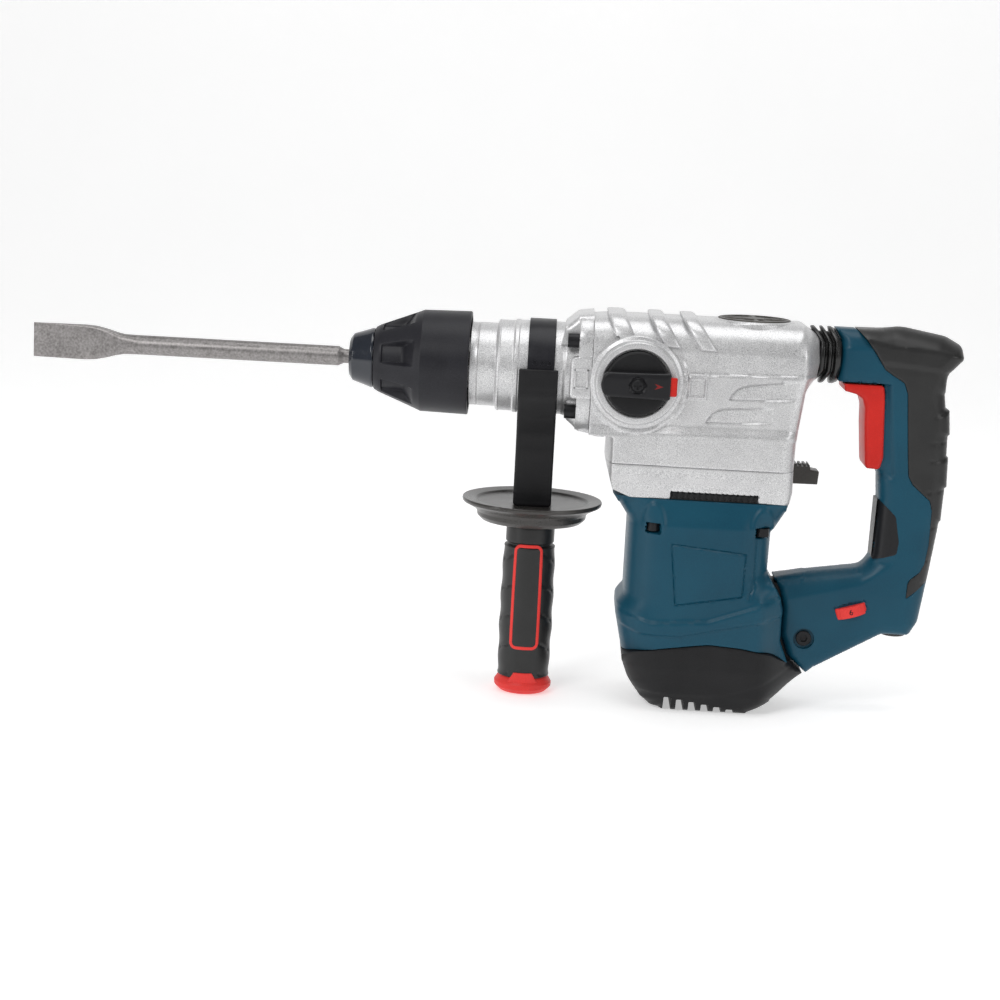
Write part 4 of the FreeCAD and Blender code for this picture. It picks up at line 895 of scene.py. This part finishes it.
def handle_half(x, z):
    """Half width of the handle: widest at the top cap and the arm, waisted at the grip."""
    width = along([(-212, 18.5), (-150, 18.8), (-110, 17.6), (-60, 17), (-20, 17.6), (10, 18.8),
                   (45, 19)], z)
    edge = along([(-62, 255.2), (-2, 247.8)], z)
    nose = (1 - ramp(edge, edge + 3.5, x)) * ramp(-67, -60.5, z) * (1 - ramp(2.4, 3.2, z))
    return np.minimum(width, HANDLE_HALF) * (1 - nose) + 14.8 * nose


def handle_relief(x, z):
    """Fold lines of the blue shells."""
    fold = along([(180, -153), (187, -156), (240, -142), (262, -126)], x)
    raised = -0.3 * np.maximum(z - fold, 0) * (1 - ramp(255, 266, x)) * (1 - ramp(-128, -120, z))
    raised -= 0.55 * np.maximum(z - along([(217, 27), (262, 29)], x), 0)
    raised -= 1.2 * patch(x, z, DIAL_SLOT, 0.7)
    raised += groove(x, z, [(180, -145.5), (225, -137.4), (240, -132)], 1.4, 0.5)
    return raised


def grip_relief(x, z):
    """Two fold lines on the top cap and the finger ridges of the soft grip."""
    top_fold = along([(232, 33), (250, 29.5), (280, 27.5), (302, 24)], x)
    low_fold = along([(243, 17.5), (262, 16.5), (294, 13)], x)
    raised = 0.25 - 0.85 * np.maximum(z - top_fold, 0)
    raised += ramp(-0.7, 0.7, z - low_fold)
    ridges = np.zeros(len(x))
    for level in (-15, -35, -48, -70, -96, -120, -137):
        ridges += groove(x, z, [(282, level - 3), (300, level)], 2, 0.6)
    return raised + ridges


def rear_handle():
    """Two blue half shells, the soft grip that wraps the back and the inlay at the front."""
    around = rounded(HANDLE, 2)
    top, foot = HANDLE.index((240, 40.5, 30, 8)), HANDLE.index((284, -168, 8, 10))
    seam = [(x, z, 3 if z > -150 else 0.4, 0.7) for x, z in GRIP_EDGE]
    blue = [(209, 40, 0.5)] + seam + [(288.1, -137.2)]
    blue += [corner[:3] for corner in HANDLE[foot:]]
    near, far = both(handle_half)
    lines = [DIAL_SLOT + DIAL_SLOT[:1]]
    for side in ("left", "right"):
        piece = slab("shell_" + side, blue, near, -0.12, BLUE, step=1.7, around=around, far_rim=0.3,
                     detail=(handle_relief, None), lines=lines)
        hollow = slab("arm_hollow", [
            (160, -144.3), (181, -144.3), (193, -148), (213, -156), (213, -197),
            (206, -204), (196, -207), (160, -207)], -12.4, 1, BLUE, step=6)
        well = rod("pivot_well", -30, -15.8, 7.6, BLUE, axis="Y", at=(PIVOT.x, 0, PIVOT.z), segments=72)
        piece = carve(piece, [hollow, well])
        if side == "right":
            for vert in piece.data.vertices:
                vert.co.y = -vert.co.y
            piece.data.flip_normals()
        fit(piece, "rear_handle", "blue_plastic", "handle_%s_shell" % side)
    outline = [(224.4, 40)] + [corner[:3] for corner in HANDLE[top:foot]]
    outline += [(288.1, -137, 0, 0.7)] + seam[:0:-1]
    grip = slab("soft_grip", outline, near, far, RUBBER, step=1.7, around=around, detail=grip_relief)
    inlay = slab("front_inlay", [
        (247.6, -79.5, 1, 0), (255, -86, 4, 0.5), (261, -91.5, 5, 0.5), (264.5, -110, 5, 0.5),
        (263.5, -119, 3, 0.5), (246.6, -124, 1, 0)], *both(lambda x, z: handle_half(x, z) + 0.3),
        KNOB_GREY, step=1.4, around=around)
    fit(join([grip, inlay]), "rear_handle", "black_rubber", "rear_grip")
    collar_fold()
    handle_fasteners()


def collar_fold():
    """The rubber bellows: three folds that follow the handle at one end and the housing at the other.

    Its ends hug the rounded corners of the housing: above and below the middle they reach forward."""
    left, right = low("bellows").x - 1.4, high("bellows").x - 3.8
    reach, handle_reach = 7, 4.4
    fold = (right - left) / 3
    profile = [(left, 14.6), (left, 19.5, 0.5)]
    for i in range(3):
        start = left + fold * i
        profile += [(start + fold * 0.22, 20.4, 0.8), (start + fold * 0.58, 20.4, 0.8)]
        if i < 2:
            profile += [(start + fold * 0.78, 16.6, 0.5), (start + fold * 1.02, 16.6, 0.5)]
    profile += [(right, 19, 0.4), (right, 14.6)]
    piece = turned("rubber_bellows", profile, GLOSSY_RUBBER, at=(0, 0, BELLOWS.z), segments=96, step=0.9)
    for vert in piece.data.vertices:
        share = (vert.co.x / MM - left) / (right - left)
        rise = vert.co.z / MM - BELLOWS.z
        above = min(max((rise - 10) / 10, 0), 1)
        below = min(max((-rise - 10) / 10, 0), 1)
        top = reach + (handle_reach - reach) * share
        vert.co.x -= (top * above + reach * (1 - share) * below) * MM
    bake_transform(piece)
    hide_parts("bellows")


def hex_screw(name, head, socket, front, depth, at):
    """A screw head across the tool, with a hexagon socket; front is its outer face and depth points
    inwards."""
    back = front + depth
    rim = 0.6 if depth > 0 else -0.6
    profile = [(front, 0), (front, head, 0.7), (back, head, 0.2), (back, 0)]
    piece = turned(name, profile, SCREW, axis="Y", at=at, segments=64, step=4)
    hexagon = []
    for k in range(6):
        angle = math.pi * k / 3
        hexagon.append((at[0] + socket * math.cos(angle), at[2] + socket * math.sin(angle)))
    ends = sorted((front - rim * 2, front + depth * 0.6))
    tool = slab(name + "_hex", hexagon, ends[0], ends[1], SCREW, step=1.5)
    return carve(piece, [tool])


def handle_fasteners():
    """Pivot bolt and cable gland."""
    at = (PIVOT.x, 0, PIVOT.z)
    pivot = hex_screw("pivot_head", 5.5, 2.9, -17.9, 3, at)
    nut = hex_screw("pivot_nut", 6.3, 2.9, 18.4, -3.5, at)
    fit(join([pivot, nut]), "rear_handle", "black_screws", "pivot_bolt")
    gland = turned("gland", [
        (-181, 3.8, 0.4), (-181, 8.6, 1), (-178.2, 9.6, 0.8), (-176, 9.6), (-176, 3.8)], RUBBER, axis="Z",
        at=(INLET_X, 0, 0), segments=64, step=2)
    fit(gland, "rear_handle", "seal_rubber", "cable_gland")


def controls():
    """The trigger and the speed dial."""
    corners = [
        (216.8, 1.7, 0.6, 1.5), (217.8, -3.6, 1.5, 2.5), (226, -5.4, 5, 3), (230.8, -8.6, 4, 4),
        (232.8, -15, 6, 4), (233.4, -28, 20, 4), (235.8, -54.5, 3, 3), (237, -57.8, 1.6, 2.4),
        (246.6, -58.4, 3, 3), (248.6, -50, 5, 2.5), (246.4, -6, 5, 2.5), (245.2, 1.7, 3, 1.5)]
    body = slab("trigger_blade", corners, -18.5, 18.5, RED, step=1.4)
    room = slab("trigger_room", [
        (238.6, -80), (238.6, -16, 2), (233, -7), (233, -5), (270, -5), (270, -80)],
        -15.3, 15.3, RED, step=6)
    fit(carve(body, [room]), "trigger", "red_plastic", "trigger")
    teeth = 36

    def notches(place, angle):
        return -0.14 * (0.5 + 0.5 * np.cos(angle * teeth)) ** 4
    # Painted light: the dial takes the lighter soft red so that it looks bright where it sits in the shade
    # of its slot.
    wheel = turned("dial_wheel", [(-4.1, 0), (-4.1, 16.6, 0.8), (4.1, 16.6, 0.8), (4.1, 0)], RED_SOFT_AND_DIAL_LIGHT,
                   axis="Z", segments=teeth * 8, step=1.2, detail=notches, skin=14)
    eye = turned("digit_eye", [(-16.75, 0.7), (-16.75, 1.25), (-16.2, 1.25), (-16.2, 0.7)], BLACK, axis="Y",
                 at=(0, 0, -0.7), segments=32)
    stem = slab("digit_stem", [(-1.2, -0.7), (-0.8, 1, 0.5, 0), (0.5, 2, 0.3, 0), (0.8, 1.6, 0.2, 0),
                               (-0.3, 0.8, 0.5, 0), (-0.65, -0.7)], -16.75, -16.2, BLACK, step=0.5)
    centre = middle("speed_dial")
    tilt = Euler((0, math.radians(DIAL_TILT), 0)).to_matrix()
    for piece in (wheel, eye, stem):
        shifted(piece, tilt, centre)
    fit(wheel, "speed_dial", "red_plastic", "speed_dial")
    fit(join([eye, stem]), "speed_dial", "black_plastic")


# ---------- side handle

def side_handle():
    """Strap, bracket, guard disc, grip with its red frame, and end cap."""
    strap_parts = [turned("strap", [
        (-7, 33.08), (-7, 34.7, 0.5), (12, 34.7, 0.5), (12, 33.08)], STRAP, segments=160, step=6)]
    lean = Euler((math.radians(-11), 0, 0)).to_matrix()
    for i, x in enumerate((-2, 3.5, 8.5)):
        ring = turned("strap_ring%d" % i, [(-35.55, 1.1), (-35.55, 1.9), (-34.65, 1.9), (-34.65, 1.1)],
                      STRAP, axis="Y", segments=32)
        strap_parts.append(shifted(ring, lean, Vector((x, 0, 0))))
    fit(join(strap_parts), "side_handle", "strap_steel", "clamp_band")
    yoke = slab("yoke", [
        (-38.5, 2, 1, 1), (-38.5, -19, 10, 2), (-21, -46, 30, 2.5), (-15.5, -62, 30, 2.5),
        (-15, -99.2, 0, 2.5), (15, -99.2, 0, 2.5), (15.5, -62, 30, 2.5), (21, -46, 30, 2),
        (38.5, -19, 10, 1), (38.5, 2, 1, 1)],
        -12.5, 15, BLACK, plane="YZ", step=2.2,
        detail=(None, lambda y, z: groove(y, z, [(-16, -26), (16, -26)], 1, 0.5)))
    bore = rod("yoke_bore", -30, 30, STRAP_RADIUS, BLACK, segments=160)
    fit(carve(yoke, [bore]), "side_handle", "black_plastic", "handle_bracket")
    at = (GRIP_X, 0, 0)
    disc = turned("guard", [
        (-113.8, 4.2), (-113.8, 18, 1), (-111.6, 36, 2), (-108.4, 39.3, 1.2), (-105.5, 39.6, 1),
        (-103, 41.5, 1.5), (-98.6, 50, 0.8), (-97, 50.5, 0.6), (-95.6, 50.2, 0.5), (-96.8, 41.2, 1),
        (-98.2, 39.6, 0.6), (-98.4, 38.6, 0.6), (-99.3, 18, 4), (-99.3, 4.2)], GUARD_PAINTED_SHEEN, axis="Z", at=at,
        segments=192, step=2.5)
    fit(disc, "side_grip", "black_rubber", "flange_disc")

    def scallops(z, angle):
        side = np.abs(np.cos(angle)) ** 3
        wave = 0.5 + 0.5 * np.cos((z + 132) * 2 * math.pi / 23)
        body = ramp(-226, -222, z) * (1 - ramp(-132, -128, z))
        front = np.abs(np.abs(angle - math.pi) - math.pi / 2)
        notch = np.exp(-(((z + 140 + 9 * front) % 22 - 11) / 1.1) ** 2) * between(0.62, 1.25, front, 0.06)
        return body * (-0.7 * wave * side - 0.8 * notch)
    grip = turned("grip", [
        (-114.2, 4.2), (-114.2, 17.2, 0.6), (-116.4, 17.5, 0.5), (-126.6, 17.5, 0.6), (-127.6, 16.4, 0.4),
        (-128.6, 16.4, 0.4), (-129.8, 18.8, 0.8), (-160, 19.4, 60), (-190, 19.5, 60), (-217, 19, 1),
        (-225.6, 18.9, 0.6), (-226, 17.6, 0.3), (-226, 4.2)], RUBBER, axis="Z", at=at, segments=160,
        detail=scallops, step=1.2, skin=10)
    fit(grip, "side_grip", "black_rubber", "side_grip")
    for hand in (-1, 1):
        frame_band(hand)
    cap = turned("end_cap", [
        (-226.1, 0), (-226.1, 17.6, 0.4), (-227, 18.4, 0.5), (-230.8, 20.9, 1.2), (-234, 20.7, 2),
        (-237.9, 16.5, 3), (-237.9, 0)], RED_SOFT_AND_DIAL_LIGHT, axis="Z", at=at, segments=128, step=1.5)
    tabs = [cap]
    for hand in (-1, 1):
        def outside(x, z):
            return hand * np.sqrt(19.9 ** 2 - (x - GRIP_X) ** 2)
        shape = [(GRIP_X - 11, -229, 0, 0.4), (GRIP_X + 11, -229, 0, 0.4), (GRIP_X + 6.5, -221.5, 1.5, 0.4),
                 (GRIP_X - 6.5, -221.5, 1.5, 0.4)]
        near, far = (outside, -12) if hand < 0 else (12, outside)
        tabs.append(slab("cap_tab%d" % hand, shape, near, far, RED_SOFT_AND_DIAL_LIGHT, step=1.2))
    fit(join(tabs), "side_grip", "red_rubber", "grip_end_cap")


def frame_band(hand):
    """The red rounded frame that is inlaid in the grip, on one side."""
    corners = [(-10.2, -203, 4, 0), (9.4, -203, 4, 0), (9.4, -128, 4, 0), (-10.2, -128, 4, 0)]
    path, _ = rounded(corners, 1.2)
    verts = []
    levels = ((-1.1, -0.6), (-1.1, 0.1), (-0.8, 0.28), (0.8, 0.28), (1.1, 0.1), (1.1, -0.6))
    grip_radius = [(-217, 19), (-190, 19.5), (-160, 19.4), (-129.8, 18.8), (-128.5, 18.4), (-124, 18.4)]
    for offset, height in levels:
        edge = path + left_of(path) * offset
        radius = along(grip_radius, edge[:, 1]) + height
        angle = edge[:, 0] / grip_radius[0][1]
        verts.append(np.stack([GRIP_X + radius * np.sin(angle), hand * radius * np.cos(angle), edge[:, 1]],
                              axis=1))
    name = "red_frame_near" if hand < 0 else "red_frame_far"
    piece = build(name, np.concatenate(verts), net(len(levels), len(path)), RED_SOFT_AND_DIAL_LIGHT)
    fit(piece, "side_grip", "red_rubber")


# ---------- CAD nodes that stay

KEPT = {
    SCREW: ("barrel_bolts", "handle_screws", "clamp_bolt"),
    BLACK: ("switch_body", "brush_holders", "cooling_fan"),
    STEEL: ("tool_holder", "hammer_cylinder", "ring_gear", "striker", "impact_bolt", "piston", "wrist_pin",
            "connecting_rod", "crank_pin", "crankshaft", "crank_gear", "intermediate_shaft",
            "intermediate_gear", "bevel_pinion", "armature_shaft", "lock_spring"),
    BALL: ("armature_bearings", "shaft_bearings", "spindle_bearings", "locking_balls"),
    LAMINATE: ("stator_core", "armature_core"),
    COPPER: ("field_coils", "commutator"),
    CARBON: ("carbon_brushes",),
    RUBBER: ("nose_seal",),
}


def finish_cad_nodes():
    """Gives the CAD nodes that stay their looks, and gives the spring a mesh of its own."""
    for material, names in KEPT.items():
        for name in names:
            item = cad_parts[name]
            item.data.materials.clear()
            item.data.materials.append(material)
    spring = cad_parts["lock_spring"]
    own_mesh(spring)


# ---------- floor, lights and camera

def backdrop():
    """A pale floor that curves up behind the tool."""
    depths = [(-2600, 0), (1400, 0)]
    for k in range(1, 13):
        angle = math.pi / 2 * k / 12
        depths.append((1400 + 900 * math.sin(angle), 900 * (1 - math.cos(angle))))
    depths.append((2300, 3800))
    verts = []
    for y, rise in depths:
        for x in (-4200, 4200):
            verts.append((x, y, FLOOR_Z - 0.2 + rise))
    faces = [(2 * i, 2 * i + 1, 2 * i + 3, 2 * i + 2) for i in range(len(depths) - 1)]
    floor = build("backdrop", verts, faces, FLOOR, sharp=60)


def lamp(name, place, aim, size, power, tall=None):
    """A soft rectangular lamp; place, aim and sizes are in metres, power in watts."""
    data = bpy.data.lights.new(name, "AREA")
    data.shape = "RECTANGLE"
    data.size = size
    data.size_y = tall or size
    data.energy = power
    item = bpy.data.objects.new(name, data)
    bpy.context.collection.objects.link(item)
    item.location = place
    item.rotation_euler = (Vector(aim) - Vector(place)).to_track_quat("-Z", "Y").to_euler()


def studio():
    """A dim white sky and four soft lamps."""
    world = bpy.data.worlds.new("studio")
    bpy.context.scene.world = world
    world.use_nodes = True
    sky = world.node_tree.nodes["Background"].inputs
    sky["Color"].default_value = (1, 1, 1, 1)
    sky["Strength"].default_value = 0.24
    lamp("key", (-0.8, -1.5, 1.2), (0, 0, -0.08), 0.7, 13)
    lamp("fill", (1.5, -1.3, 0.6), (0.05, 0, -0.1), 0.9, 7)
    lamp("top", (0.1, -0.1, 1.5), (0, 0, 0), 1.1, 10)
    lamp("strip", (-1.3, -0.8, 0.1), (-0.1, 0, 0), 0.25, 4, 1)
    bpy.context.scene.view_settings.view_transform = "Standard"


def camera():
    """The photograph's camera, a little above the spindle and rolled by three degrees; in metres."""
    data = bpy.data.cameras.new("camera")
    item = bpy.data.objects.new("camera", data)
    bpy.context.collection.objects.link(item)
    place = Vector((0.0139, -1.56, 0.1775))
    aim = Vector((-0.022, 0, -0.0984))
    data.sensor_width = 36
    data.lens = 78.8
    item.location = place
    item.rotation_mode = "QUATERNION"
    turn = (aim - place).to_track_quat("-Z", "Y")
    roll = Euler((0, 0, math.radians(2.98))).to_quaternion()
    item.rotation_quaternion = turn @ roll
    data.clip_end = 50
    bpy.context.scene.camera = item


chisel()
sleeve()
barrel()
gear_case()
base_case()
motor_case()
knob()
filler_cap()
rear_handle()
controls()
side_handle()
finish_cad_nodes()
backdrop()
studio()
camera()
